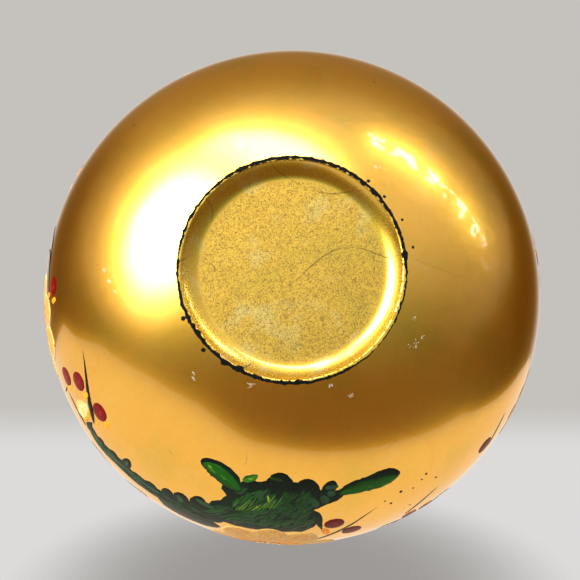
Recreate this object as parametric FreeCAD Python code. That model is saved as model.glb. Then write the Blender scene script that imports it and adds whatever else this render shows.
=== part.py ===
"""Painted wooden bowl: a turned lime-wood blank, its ground and gold coats, and the brushwork.

Millimetres, +Z up. The origin is the centre of the foot, on the surface that the bowl stands on.
Bearings are in degrees around +Z, counted from +X towards +Y. Heights are above that surface.
"""

import FreeCAD, Part
import math
import os

from FreeCAD import Vector

# ---- Turned form -------------------------------------------------------------------------------

BOWL_RADIUS = 125.0       # at the widest belt
BOWL_HEIGHT = 110.0       # foot to the top of the lip
WIDEST_HEIGHT = 87.5      # height of the widest belt; above it the wall turns slightly in
FOOT_RADIUS = 47.5        # sharp outer edge of the foot, where the wall stops
FOOT_SLOPE = 18.5         # degrees between the wall and the table, at the foot edge
FOOT_LAND = 1.6           # width of the narrow ring that the bowl stands on
COVE_WIDTH = 6.5          # gently hollow slope between the standing ring and the recessed disc
COVE_ROUND = 17.5         # radius of that hollow slope
RECESS_DEPTH = 5.0        # how far the recessed disc lies above the standing ring
WALL_THICKNESS = 7.0      # at the widest belt
FLOOR_THICKNESS = 9.0     # above the recessed disc, at the middle
LIP_THICKNESS = 6.4       # across the rounded lip
HOLLOW_SIDE_ROUND = 66.0  # radius of the hollow's side; its floor is a flatter arc

# ---- Coats -------------------------------------------------------------------------------------

GROUND_COAT = 0.5         # hard black ground that seals the wood
GOLD_COAT = 0.4           # tin-and-varnish gold over the ground
PAINT_COAT = 0.25         # one layer of brushwork over the gold
HIGHLIGHT_COAT = 0.20     # lighter strokes laid over the first layer
BARE_EDGE_HEIGHT = 2.0    # the foot edge, where handling has taken the gold off the ground
BARE_EDGE_WIDTH = 2.6     # from the standing ring's inner edge out to the wall
LIP_BAND_HEIGHT = 7.0     # painted band around the lip, measured down from its top

# ---- Brushwork ---------------------------------------------------------------------------------

PAINTED_FROM = 6.0        # heights between which the brushwork lies
PAINTED_TO = 106.0

# Cream flowers: bearing, height, radius. They hang lowest and are largest on the +X -Y side.
FLOWERS = [
    (-40.0, 73.0, 31.5),
    (36.5, 76.0, 30.0),
    (108.0, 83.0, 19.0),
    (180.0, 83.0, 19.0),
    (252.0, 83.0, 19.0),
]
PETALS_PER_FLOWER = 9
PETAL_LENGTH = 0.58       # petal length, petal width and eye radius, as parts of the flower's radius
PETAL_WIDTH = 0.45
EYE_RADIUS = 0.30

# Leaves of the low spray: root bearing, root height, tip bearing, tip height, width.
SPRAY_LEAVES = [
    (-52.0, 27.5, -73.4, 26.5, 8.5),
    (-31.0, 26.0, -19.0, 20.5, 8.5),
    (-51.5, 33.5, -57.0, 22.0, 8.0),
    (-46.5, 36.0, -49.5, 20.5, 9.0),
    (-41.0, 36.0, -41.5, 18.6, 10.0),
    (-36.0, 35.0, -33.5, 20.3, 8.5),
    (-50.0, 33.0, -51.7, 47.0, 5.0),
    (-44.5, 46.0, -43.5, 37.0, 9.0),
    (-38.0, 45.5, -36.0, 36.0, 9.0),
    (-30.5, 47.0, -29.5, 31.0, 10.0),
    (-24.5, 56.0, -22.0, 35.4, 10.0),
    (-17.0, 58.0, -15.0, 40.0, 10.0),
    (-9.0, 60.0, -9.5, 46.0, 10.0),
    (-2.0, 59.0, -2.5, 40.5, 9.0),
    (5.0, 60.0, 8.5, 41.5, 9.0),
]

# Berries of the low spray: bearing, height. All berries share one radius.
SPRAY_BERRIES = [
    (10.2, 35.2),
    (19.5, 37.8),
    (22.3, 46.5),
    (44.0, 43.5),
    (-54.8, 43.0),
    (-58.5, 53.0),
    (-95.0, 54.0),
]
BERRY_RADIUS = 4.5
CRESCENT_RADIUS = 2.6     # the orange crescent peeps out from under the berry
CRESCENT_SHIFT = 3.2

# Thin stems of the low spray: start bearing and height, end bearing and height, width.
SPRAY_STEMS = [
    (26.8, 28.5, 12.5, 39.5, 2.2),
    (-66.2, 38.8, -57.0, 48.5, 1.8),
    (-80.8, 49.0, -71.0, 59.0, 1.8),
    (-104.0, 50.0, -96.0, 57.0, 2.0),
    (57.0, 52.0, 46.0, 49.5, 1.8),
]

# Each gap between two flowers holds four leaves and three berries, all placed from its middle.
GAP_LEAF_ROOT = 1.65      # degrees from the middle to a leaf's root, and to its tip
GAP_LEAF_TIP = 11.0
GAP_LEAF_START = 3.0      # height of a leaf's root above or below the middle
GAP_LEAF_RISE = 12.0      # height of an upper leaf's tip above it, and of a lower one's below it
GAP_LEAF_FALL = 9.0
GAP_LEAF_WIDTH = 8.5
GAP_BERRY_SPACING = 6.0   # degrees between berries
GAP_BERRY_RISE = 12.5
GAP_BERRY_LIFT = 4.0      # the middle berry stands this much higher

# Light strokes lie along the middle of the spray's leaves, over this share of their length.
STROKE_FROM = 0.25
STROKE_TO = 0.75
STROKE_WIDTH = 0.35

SMALLEST_DAB = 0.05       # cubic millimetres; anything less is a sliver, not a stroke
STROKE_REACH = 7.0        # half the depth of the block that cuts a stroke out of the paint


# ---- Nested outlines of the turned form --------------------------------------------------------

# The wall is one ball-shaped underside, centred on the axis, that turns into a rounder side.
UNDERSIDE_ROUND = FOOT_RADIUS / math.sin(math.radians(FOOT_SLOPE))
UNDERSIDE_CENTRE = FOOT_RADIUS / math.tan(math.radians(FOOT_SLOPE))
SIDE_ROUND = (
    (UNDERSIDE_ROUND ** 2 - BOWL_RADIUS ** 2 - (UNDERSIDE_CENTRE - WIDEST_HEIGHT) ** 2)
    / (2.0 * (UNDERSIDE_ROUND - BOWL_RADIUS))
)

# The hollow is made the same way, with a flatter floor.
HOLLOW_RADIUS = BOWL_RADIUS - WALL_THICKNESS
HOLLOW_DEPTH = WIDEST_HEIGHT - RECESS_DEPTH - FLOOR_THICKNESS
HOLLOW_FLOOR_ROUND = (
    (HOLLOW_RADIUS ** 2 + HOLLOW_DEPTH ** 2 - 2.0 * HOLLOW_RADIUS * HOLLOW_SIDE_ROUND)
    / (2.0 * (HOLLOW_DEPTH - HOLLOW_SIDE_ROUND))
)
LAND_RADIUS = FOOT_RADIUS - FOOT_LAND
DISC_RADIUS = LAND_RADIUS - COVE_WIDTH
COVE_CHORD = math.hypot(COVE_WIDTH, RECESS_DEPTH)
COVE_SETBACK = math.sqrt(COVE_ROUND ** 2 - COVE_CHORD ** 2 / 4.0)
COVE_CENTRE_RADIUS = (LAND_RADIUS + DISC_RADIUS) / 2.0 - COVE_SETBACK * RECESS_DEPTH / COVE_CHORD
COVE_CENTRE_HEIGHT = RECESS_DEPTH / 2.0 - COVE_SETBACK * COVE_WIDTH / COVE_CHORD
BARE_COAT = GROUND_COAT + GOLD_COAT


class TurnedCurve:
    """A flat arc centred on the axis and a rounder arc that ends upright at the widest belt."""

    def __init__(self, flat_centre_height, flat_round, side_radius, side_round):
        self.flat_centre = Vector(0.0, 0.0, flat_centre_height)
        self.side_centre = Vector(side_radius - side_round, 0.0, WIDEST_HEIGHT)
        self.flat_round = flat_round
        self.side_round = side_round
        self.meeting = (self.side_centre - self.flat_centre).normalize()

    def joint(self):
        """Point where the two arcs meet."""
        return self.flat_centre + self.meeting * self.flat_round

    def point(self, height):
        """Point of the curve at a height."""
        if height < self.joint().z:
            fall = height - self.flat_centre.z
            return Vector(math.sqrt(self.flat_round ** 2 - fall ** 2), 0.0, height)
        rise = height - WIDEST_HEIGHT
        return Vector(self.side_centre.x + math.sqrt(self.side_round ** 2 - rise ** 2), 0.0, height)

    def normal(self, height):
        """Direction away from the axis, square to the curve, at a height."""
        centre = self.flat_centre if height < self.joint().z else self.side_centre
        return (self.point(height) - centre).normalize()

    def edges(self, start, end):
        """Both arcs, from a point of the flat one to a point of the round one."""
        joint = self.joint()
        flat_middle = (self.meeting + (start - self.flat_centre).normalize()).normalize()
        side_middle = (self.meeting + (end - self.side_centre).normalize()).normalize()
        flat_through = self.flat_centre + flat_middle * self.flat_round
        side_through = self.side_centre + side_middle * self.side_round
        return [
            Part.Arc(start, flat_through, joint).toShape(),
            Part.Arc(joint, side_through, end).toShape(),
        ]


def outer_curve(depth):
    """The outer wall, at a depth below its finished surface; a negative depth is a lift."""
    return TurnedCurve(
        UNDERSIDE_CENTRE, UNDERSIDE_ROUND - depth, BOWL_RADIUS - depth, SIDE_ROUND - depth
    )


def hollow_curve(depth):
    """The hollow, at a depth below its finished surface."""
    floor_centre = WIDEST_HEIGHT - HOLLOW_DEPTH + HOLLOW_FLOOR_ROUND
    return TurnedCurve(
        floor_centre, HOLLOW_FLOOR_ROUND + depth, HOLLOW_RADIUS + depth, HOLLOW_SIDE_ROUND + depth
    )


def cove_point(depth, height):
    """Point of the cove at a height, under its finished surface."""
    reach = COVE_ROUND + depth
    climb = height - COVE_CENTRE_HEIGHT
    return Vector(COVE_CENTRE_RADIUS + math.sqrt(reach ** 2 - climb ** 2), 0.0, height)


def lip_points(depth):
    """Outer, top and inner points of the lip, at a depth below the finished surface."""
    half = LIP_THICKNESS / 2.0 - depth
    outer = outer_curve(depth).point(BOWL_HEIGHT - LIP_THICKNESS / 2.0)
    top = outer + Vector(-half, 0.0, half)
    inner = outer + Vector(-2.0 * half, 0.0, 0.0)
    return outer, top, inner


def turned_form(depth):
    """The whole turned form, inset by a depth below its finished surface."""
    disc_z = RECESS_DEPTH + depth
    disc_edge = cove_point(depth, disc_z)
    cove_middle = cove_point(depth, (depth + disc_z) / 2.0)
    cove_foot = cove_point(depth, depth)
    outer_foot = outer_curve(depth).point(depth)
    lip_outer, lip_top, lip_inner = lip_points(depth)
    belt_inner = Vector(HOLLOW_RADIUS + depth, 0.0, WIDEST_HEIGHT)
    hollow_bottom = Vector(0.0, 0.0, WIDEST_HEIGHT - HOLLOW_DEPTH - depth)

    edges = [
        Part.LineSegment(Vector(0.0, 0.0, disc_z), disc_edge).toShape(),
        Part.Arc(disc_edge, cove_middle, cove_foot).toShape(),
        Part.LineSegment(cove_foot, outer_foot).toShape(),
        Part.Arc(lip_outer, lip_top, lip_inner).toShape(),
        Part.Arc(lip_inner, upper_hollow_middle(depth), belt_inner).toShape(),
        Part.LineSegment(hollow_bottom, Vector(0.0, 0.0, disc_z)).toShape(),
    ]
    edges.extend(outer_curve(depth).edges(outer_foot, lip_outer))
    edges.extend(hollow_curve(depth).edges(hollow_bottom, belt_inner))
    section = Part.Face(Part.Wire(Part.__sortEdges__(edges)))
    return section.revolve(Vector(0, 0, 0), Vector(0, 0, 1), 360.0)


def upper_hollow_middle(depth):
    """Point halfway up the hollow's inward turn, between the widest belt and the lip."""
    lip_inner = lip_points(depth)[2]
    belt_radius = HOLLOW_RADIUS + depth
    setback = belt_radius - lip_inner.x
    height = (WIDEST_HEIGHT + lip_inner.z) / 2.0
    return Vector(belt_radius - setback / 4.0, 0.0, height)


# ---- Cutting zones -----------------------------------------------------------------------------


def upright_ring(inner_radius, outer_radius, low, high):
    ring = Part.makeCylinder(outer_radius, high - low, Vector(0, 0, low))
    if inner_radius > 0.0:
        ring = ring.cut(Part.makeCylinder(inner_radius, high - low, Vector(0, 0, low)))
    return ring


def foot_edge_zone():
    """Room around the sharp foot edge, from the cove to just up the wall."""
    outer = LAND_RADIUS + BARE_EDGE_WIDTH
    return upright_ring(DISC_RADIUS, outer, -BARE_EDGE_HEIGHT, BARE_EDGE_HEIGHT)


def lip_zone():
    return upright_ring(0.0, 2.0 * BOWL_RADIUS, BOWL_HEIGHT - LIP_BAND_HEIGHT, 2.0 * BOWL_HEIGHT)


def split_coat(outer_depth, inner_depth):
    """One coat between two depths, as its outside, its recess and its inside."""
    coat = turned_form(outer_depth).cut(turned_form(inner_depth))
    coat = coat.cut(foot_edge_zone()).cut(lip_zone())
    by_width = sorted(coat.Solids, key=lambda solid: solid.BoundBox.XLength)
    recess, inside, outside = by_width
    return outside, recess, inside


# ---- Brushwork on the outer wall ---------------------------------------------------------------


def around(direction, bearing):
    """A vector of the +X half-plane, turned to a bearing."""
    angle = math.radians(bearing)
    return Vector(direction.x * math.cos(angle), direction.x * math.sin(angle), direction.z)


def wall_point(bearing, height):
    """Point of the finished outer wall."""
    return around(outer_curve(0.0).point(height), bearing)


def wall_normal(bearing, height):
    """Outward normal of the finished outer wall."""
    return around(outer_curve(0.0).normal(height), bearing)


def filled_wall(lift):
    """Everything inside the outer wall, raised by a lift, over the heights that are painted."""
    curve = outer_curve(-lift)
    low = curve.point(PAINTED_FROM)
    high = curve.point(PAINTED_TO)
    low_axis = Vector(0.0, 0.0, low.z)
    high_axis = Vector(0.0, 0.0, high.z)
    edges = [
        Part.LineSegment(high, high_axis).toShape(),
        Part.LineSegment(high_axis, low_axis).toShape(),
        Part.LineSegment(low_axis, low).toShape(),
    ]
    edges.extend(curve.edges(low, high))
    face = Part.Face(Part.Wire(Part.__sortEdges__(edges)))
    return face.revolve(Vector(0, 0, 0), Vector(0, 0, 1), 360.0)


def paint_shell(low, high):
    """Everything between two heights above the finished outer wall."""
    return filled_wall(high).cut(filled_wall(low))


def pressed_through(wire, normal):
    """A flat outline near the wall, made into a block that passes right through the paint."""
    face = Part.Face(wire)
    face.translate(normal * -STROKE_REACH)
    return face.extrude(normal * (2.0 * STROKE_REACH))


def disc_block(bearing, height, radius):
    normal = wall_normal(bearing, height)
    circle = Part.Circle(wall_point(bearing, height), normal, radius)
    return pressed_through(Part.Wire(circle.toShape()), normal)


def leaf_block(start_bearing, start_height, end_bearing, end_height, width):
    """Pointed leaf or stem between two points of the wall."""
    normal = wall_normal((start_bearing + end_bearing) / 2.0, (start_height + end_height) / 2.0)
    start = wall_point(start_bearing, start_height)
    end = wall_point(end_bearing, end_height)
    along = end - start
    along = along - normal * along.dot(normal)
    middle = wall_point((start_bearing + end_bearing) / 2.0, (start_height + end_height) / 2.0)
    root = middle - along / 2.0
    tip = middle + along / 2.0
    side = normal.cross(along).normalize() * (width / 2.0)
    wire = Part.Wire([
        Part.Arc(root, middle + side, tip).toShape(),
        Part.Arc(tip, middle - side, root).toShape(),
    ])
    return pressed_through(wire, normal)


def petal_block(flower, turn):
    """One oval petal, turned about its flower's middle."""
    bearing, height, radius = flower
    normal = wall_normal(bearing, height)
    across = Vector(0, 0, 1).cross(normal).normalize()
    upward = normal.cross(across)
    outward = across * math.cos(turn) + upward * math.sin(turn)
    sideways = normal.cross(outward)
    centre = wall_point(bearing, height) + outward * (radius * (1.0 - PETAL_LENGTH / 2.0))
    oval = Part.Ellipse(
        centre + outward * (radius * PETAL_LENGTH / 2.0),
        centre + sideways * (radius * PETAL_WIDTH / 2.0),
        centre,
    )
    return pressed_through(Part.Wire(oval.toShape()), normal)


def brushed(blocks, shell, keep_off=()):
    """Paint left where blocks cross the shell, clear of the strokes that are already there."""
    strokes = []
    for block in blocks:
        stroke = shell.common(block)
        for other in keep_off:
            if stroke.BoundBox.intersect(other.BoundBox):
                stroke = stroke.cut(other)
        strokes.extend(solid for solid in stroke.Solids if solid.Volume > SMALLEST_DAB)
    return strokes


def gaps():
    """Bearing and height of the middle of each gap between two flowers."""
    middles = []
    for index, (bearing, height, _) in enumerate(FLOWERS):
        next_bearing, next_height, _ = FLOWERS[(index + 1) % len(FLOWERS)]
        turn = (next_bearing - bearing) % 360.0
        middles.append((bearing + turn / 2.0, (height + next_height) / 2.0))
    return middles


def garland_leaf_blocks():
    """The low spray, then two pairs of leaves in each gap between two flowers."""
    blocks = [leaf_block(*leaf) for leaf in SPRAY_LEAVES]
    for bearing, height in gaps():
        for side in (-1.0, 1.0):
            root = bearing + side * GAP_LEAF_ROOT
            tip = bearing + side * GAP_LEAF_TIP
            for start, end in ((GAP_LEAF_START, GAP_LEAF_RISE), (-GAP_LEAF_START, -GAP_LEAF_FALL)):
                blocks.append(leaf_block(root, height + start, tip, height + end, GAP_LEAF_WIDTH))
    return blocks


def garland_berries():
    """Bearing and height of every berry: the spray's, then three in each gap."""
    berries = list(SPRAY_BERRIES)
    for bearing, height in gaps():
        for step in (-1.0, 0.0, 1.0):
            lift = 0.0 if step else GAP_BERRY_LIFT
            berries.append((bearing + step * GAP_BERRY_SPACING, height + GAP_BERRY_RISE + lift))
    return berries


def light_stroke_block(leaf):
    """A narrower stroke along the middle of one leaf."""
    root_bearing, root_height, tip_bearing, tip_height, width = leaf
    turn = tip_bearing - root_bearing
    rise = tip_height - root_height
    return leaf_block(
        root_bearing + STROKE_FROM * turn,
        root_height + STROKE_FROM * rise,
        root_bearing + STROKE_TO * turn,
        root_height + STROKE_TO * rise,
        width * STROKE_WIDTH,
    )


def export(shapes, name):
    shape = shapes[0] if len(shapes) == 1 else Part.makeCompound(shapes)
    if not shape.isValid():
        raise RuntimeError("the shape of " + name + " is not sound")
    shape.exportStep("parts/" + name + ".step")
    volume = sum(solid.Volume for solid in shape.Solids)
    print("%-22s %3d solids %12.1f mm3" % (name, len(shape.Solids), volume))


def main():
    os.makedirs("parts", exist_ok=True)

    # The turned wood and the coats that wrap it.
    finished = turned_form(0.0)
    foot_zone = foot_edge_zone()
    lip = lip_zone()
    core = turned_form(BARE_COAT).cut(foot_zone)
    foot_edge = finished.common(foot_zone)
    lip_band = finished.cut(turned_form(BARE_COAT)).common(lip)
    ground_outside, ground_recess, ground_inside = split_coat(GOLD_COAT, BARE_COAT)
    gold_outside, gold_recess, gold_inside = split_coat(0.0, GOLD_COAT)

    # The brushwork, in the order in which it is laid.
    first_layer = paint_shell(0.0, PAINT_COAT)
    second_layer = paint_shell(PAINT_COAT, PAINT_COAT + HIGHLIGHT_COAT)
    petal_blocks = [
        petal_block(flower, math.radians(90.0 + 360.0 * turn / PETALS_PER_FLOWER))
        for flower in FLOWERS
        for turn in range(PETALS_PER_FLOWER)
    ]
    petals = brushed(petal_blocks, first_layer)
    leaf_blocks = garland_leaf_blocks()
    leaves = brushed(leaf_blocks, first_layer, petals)
    berries_at = garland_berries()
    berry_blocks = [disc_block(bearing, height, BERRY_RADIUS) for bearing, height in berries_at]
    berries = brushed(berry_blocks, first_layer, petals + leaves)
    crescent_blocks = [
        disc_block(bearing, height + CRESCENT_SHIFT, CRESCENT_RADIUS) for bearing, height in berries_at
    ]
    crescents = brushed(crescent_blocks, first_layer, petals + leaves + berries)
    stem_blocks = [leaf_block(*stem) for stem in SPRAY_STEMS]
    stems = brushed(stem_blocks, first_layer, petals + leaves + berries + crescents)
    eye_blocks = [
        disc_block(bearing, height, radius * EYE_RADIUS) for bearing, height, radius in FLOWERS
    ]
    eyes = brushed(eye_blocks, first_layer, petals)
    stroke_blocks = [light_stroke_block(leaf) for leaf in SPRAY_LEAVES]
    light_strokes = brushed(stroke_blocks, second_layer)

    export([core], "wood_core")
    export([foot_edge], "foot_edge")
    export([ground_outside], "ground_coat_outside")
    export([ground_recess], "ground_coat_recess")
    export([ground_inside], "ground_coat_inside")
    export([gold_outside], "gold_coat_outside")
    export([gold_recess], "gold_coat_recess")
    export([gold_inside], "gold_coat_inside")
    export([lip_band], "lip_band")
    export(petals, "flower_petals")
    export(eyes, "flower_eyes")
    export(leaves, "garland_leaves")
    export(light_strokes, "leaf_highlights")
    export(berries, "berries")
    export(crescents, "berry_crescents")
    export(stems, "stems")


main()
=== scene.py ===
"""Painted wooden bowl: gold lacquer over a black ground, with raised brushwork around the wall.

The turned outlines repeat the CAD model's driving sizes, in millimetres, and are scaled to metres
when a mesh is made. Bearings are in degrees around +Z, from +X towards +Y, and heights are above
the foot. The bowl is shown lying back on its side, with its foot towards the camera.
"""

import math
import random

import bmesh
import bpy
from mathutils import Matrix, Vector, noise


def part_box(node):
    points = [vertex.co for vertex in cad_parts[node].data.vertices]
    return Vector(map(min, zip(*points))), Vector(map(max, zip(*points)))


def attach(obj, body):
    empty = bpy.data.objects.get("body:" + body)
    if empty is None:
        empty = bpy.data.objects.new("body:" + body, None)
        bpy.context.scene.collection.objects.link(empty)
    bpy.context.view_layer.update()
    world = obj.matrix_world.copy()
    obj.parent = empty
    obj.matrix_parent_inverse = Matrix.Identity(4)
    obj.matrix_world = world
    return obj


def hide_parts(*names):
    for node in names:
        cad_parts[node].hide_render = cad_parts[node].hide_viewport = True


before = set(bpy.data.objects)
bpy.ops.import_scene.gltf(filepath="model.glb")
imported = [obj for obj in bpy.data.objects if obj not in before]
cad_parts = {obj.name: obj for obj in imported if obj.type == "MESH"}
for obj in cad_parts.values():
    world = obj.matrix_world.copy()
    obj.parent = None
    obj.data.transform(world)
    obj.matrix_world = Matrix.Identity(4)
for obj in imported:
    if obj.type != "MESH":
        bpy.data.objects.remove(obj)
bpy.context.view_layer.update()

MM = 0.001
BODY = "root"
SHARP_BEND = 40.0         # faces that meet at more degrees than this keep a sharp edge
PAINT_SHARP_BEND = 60.0

# ---- Turned form, as in the CAD model ----------------------------------------------------------

BOWL_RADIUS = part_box("gold_coat_outside")[1].x / MM
BOWL_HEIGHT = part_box("lip_band")[1].z / MM
WIDEST_HEIGHT = 87.5
FOOT_RADIUS = 47.5
FOOT_SLOPE = math.radians(18.5)
FOOT_LAND = 1.6
COVE_WIDTH = 6.5
COVE_ROUND = 17.5
RECESS_DEPTH = 5.0
WALL_THICKNESS = 7.0
FLOOR_THICKNESS = 9.0
LIP_THICKNESS = 6.4
HOLLOW_SIDE_ROUND = 66.0
LIP_BAND_HEIGHT = 7.0

GOLD_LEAF = 0.12          # thickness of the gold coat that is shown
UNEVENNESS = 0.07         # hand-turned waviness of the wall
UNEVEN_LENGTH = 34.0

LAND_RADIUS = FOOT_RADIUS - FOOT_LAND
DISC_RADIUS = LAND_RADIUS - COVE_WIDTH
COVE_CHORD = math.hypot(COVE_WIDTH, RECESS_DEPTH)
COVE_SETBACK = math.sqrt(COVE_ROUND ** 2 - COVE_CHORD ** 2 / 4.0)
COVE_CENTRE_RADIUS = (LAND_RADIUS + DISC_RADIUS) / 2.0 - COVE_SETBACK * RECESS_DEPTH / COVE_CHORD
COVE_CENTRE_HEIGHT = RECESS_DEPTH / 2.0 - COVE_SETBACK * COVE_WIDTH / COVE_CHORD
HOLLOW_RADIUS = BOWL_RADIUS - WALL_THICKNESS
HOLLOW_FLOOR_HEIGHT = RECESS_DEPTH + FLOOR_THICKNESS
HOLLOW_DEPTH = WIDEST_HEIGHT - HOLLOW_FLOOR_HEIGHT
LIP_CENTRE_HEIGHT = BOWL_HEIGHT - LIP_THICKNESS / 2.0
LIP_BAND_FROM = BOWL_HEIGHT - LIP_BAND_HEIGHT


class TurnedCurve:
    """A flat arc centred on the axis that turns into a rounder arc, upright at the widest belt.

    Its points are found by the angle between their normal and straight down.
    """

    def __init__(self, flat_round, flat_centre, side_round, belt_radius):
        self.flat_round = flat_round
        self.flat_centre = flat_centre
        self.side_round = side_round
        self.side_centre = belt_radius - side_round
        self.meeting = math.atan2(self.side_centre, flat_centre - WIDEST_HEIGHT)

    def point(self, angle):
        """Radius and height at an angle."""
        if angle < self.meeting:
            return (
                self.flat_round * math.sin(angle),
                self.flat_centre - self.flat_round * math.cos(angle),
            )
        return (
            self.side_centre + self.side_round * math.sin(angle),
            WIDEST_HEIGHT - self.side_round * math.cos(angle),
        )

    def angle_at(self, height):
        """Angle at a height."""
        if height < self.point(self.meeting)[1]:
            return math.acos((self.flat_centre - height) / self.flat_round)
        return math.acos((WIDEST_HEIGHT - height) / self.side_round)

    def length_at(self, angle):
        """Distance along the curve from the foot edge to an angle."""
        if angle < self.meeting:
            return self.flat_round * (angle - FOOT_SLOPE)
        flat_part = self.flat_round * (self.meeting - FOOT_SLOPE)
        return flat_part + self.side_round * (angle - self.meeting)

    def angle_after(self, length):
        """Angle at a distance along the curve from the foot edge."""
        flat_part = self.flat_round * (self.meeting - FOOT_SLOPE)
        if length < flat_part:
            return FOOT_SLOPE + length / self.flat_round
        return self.meeting + (length - flat_part) / self.side_round


UNDERSIDE_ROUND = FOOT_RADIUS / math.sin(FOOT_SLOPE)
UNDERSIDE_CENTRE = FOOT_RADIUS / math.tan(FOOT_SLOPE)
SIDE_ROUND = (
    (UNDERSIDE_ROUND ** 2 - BOWL_RADIUS ** 2 - (UNDERSIDE_CENTRE - WIDEST_HEIGHT) ** 2)
    / (2.0 * (UNDERSIDE_ROUND - BOWL_RADIUS))
)
HOLLOW_FLOOR_ROUND = (
    (HOLLOW_RADIUS ** 2 + HOLLOW_DEPTH ** 2 - 2.0 * HOLLOW_RADIUS * HOLLOW_SIDE_ROUND)
    / (2.0 * (HOLLOW_DEPTH - HOLLOW_SIDE_ROUND))
)
WALL = TurnedCurve(UNDERSIDE_ROUND, UNDERSIDE_CENTRE, SIDE_ROUND, BOWL_RADIUS)
HOLLOW = TurnedCurve(
    HOLLOW_FLOOR_ROUND, HOLLOW_FLOOR_HEIGHT + HOLLOW_FLOOR_ROUND, HOLLOW_SIDE_ROUND, HOLLOW_RADIUS
)


def unevenness(point):
    """How far the hand-turned surface stands out at a point."""
    return UNEVENNESS * noise.noise(point / UNEVEN_LENGTH)


def wall_surface(bearing, angle, lift=0.0):
    """Point of the outer wall, lifted off it."""
    radius, height = WALL.point(angle)
    turn = math.radians(bearing)
    normal = Vector((
        math.sin(angle) * math.cos(turn),
        math.sin(angle) * math.sin(turn),
        -math.cos(angle),
    ))
    point = Vector((radius * math.cos(turn), radius * math.sin(turn), height))
    return point + normal * (lift + unevenness(point))


# ---- Meshes ------------------------------------------------------------------------------------


def new_piece(name, vertices, faces, material, replaced,
              smooth_below=SHARP_BEND):
    """A closed mesh of millimetre points that rides on the bowl in place of CAD nodes."""
    mesh = bpy.data.meshes.new(name)
    mesh.from_pydata([point * MM for point in vertices], [], faces)
    mesh.validate()
    mesh.polygons.foreach_set("use_smooth", [True] * len(mesh.polygons))
    mesh.set_sharp_from_angle(angle=math.radians(smooth_below))
    mesh.materials.append(material)
    piece = bpy.data.objects.new(name, mesh)
    bpy.context.scene.collection.objects.link(piece)
    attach(piece, BODY)
    for node in replaced:
        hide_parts(node)
    return piece


def turned_faces(around, ring_size):
    """Quads that join each closed section to the next one, right round the axis."""
    faces = []
    for turn in range(around):
        here = turn * ring_size
        there = ((turn + 1) % around) * ring_size
        for step in range(ring_size):
            after = (step + 1) % ring_size
            faces.append((here + step, there + step, there + after, here + after))
    return faces


def turned_piece(name, section_at, around, material, replaced):
    """A ring-shaped solid: section_at(bearing) gives its closed section as radius and height."""
    vertices = []
    ring_size = 0
    for turn in range(around):
        bearing = 360.0 * turn / around
        section = section_at(bearing)
        ring_size = len(section)
        angle = math.radians(bearing)
        for radius, height in section:
            vertices.append(Vector((radius * math.cos(angle), radius * math.sin(angle), height)))
    faces = turned_faces(around, ring_size)
    return new_piece(name, vertices, faces, material, replaced)


# ---- Materials ---------------------------------------------------------------------------------

WHITE = (1.0, 1.0, 1.0)

# Sizes of the materials' features, in metres.
FLAKE = 0.0009
FIBRE = 0.0019
HAIR = 0.060
HAIR_GAP = 0.012
CLOUD = 0.026
SMEAR = 0.015
PIT = 0.0009
GROWTH_RING = 0.012
PORE = 0.0006
FIBRE_FADE = 0.002        # the curled fibres fade out over this width at the disc's edge

CLOUD_TINTS = [
    (0.30, (0.84, 0.52, 0.055)),
    (0.50, (0.97, 0.54, 0.060)),
    (0.72, (1.00, 0.57, 0.075)),
]
SMEAR_TINT = (1.0, 0.84, 0.50)
OLIVE_TINT = (0.86, 0.98, 0.80)
GLANCING_TINT = (1.0, 0.80, 0.50, 1.0)
SMEAR_RANGE = (0.56, 0.74)
HAIR_GAP_RANGE = (0.40, 0.60)
GRAIN_SHADE = (1.0, 0.92, 0.70)
HAIR_SHADE = (1.0, 0.90, 0.60)
GOLD_SHEEN = 0.24
FIBRE_WIDTH = 0.055       # half widths of the dark lines, as shares of the noise's range
HAIR_WIDTH = 0.0035

PIT_TONES = [
    (0.35, (0.002, 0.003, 0.003)),
    (0.66, (0.006, 0.006, 0.005)),
    (0.84, (0.030, 0.020, 0.010)),
]
RING_TONES = [
    (0.35, (0.46, 0.30, 0.16)),
    (0.52, (0.60, 0.42, 0.24)),
    (0.68, (0.70, 0.52, 0.33)),
]
PORE_TONES = [(0.35, (0.72, 0.70, 0.66)), (0.55, WHITE)]
STREAK_TONES = [(0.34, (0.5, 0.5, 0.5)), (0.52, (0.92, 0.92, 0.92)), (0.70, WHITE)]

# Places of the colour sockets on a mix node.
MIX_SHARE = 0
MIX_UNDER = 6
MIX_OVER = 7
MIX_RESULT = 2


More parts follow.
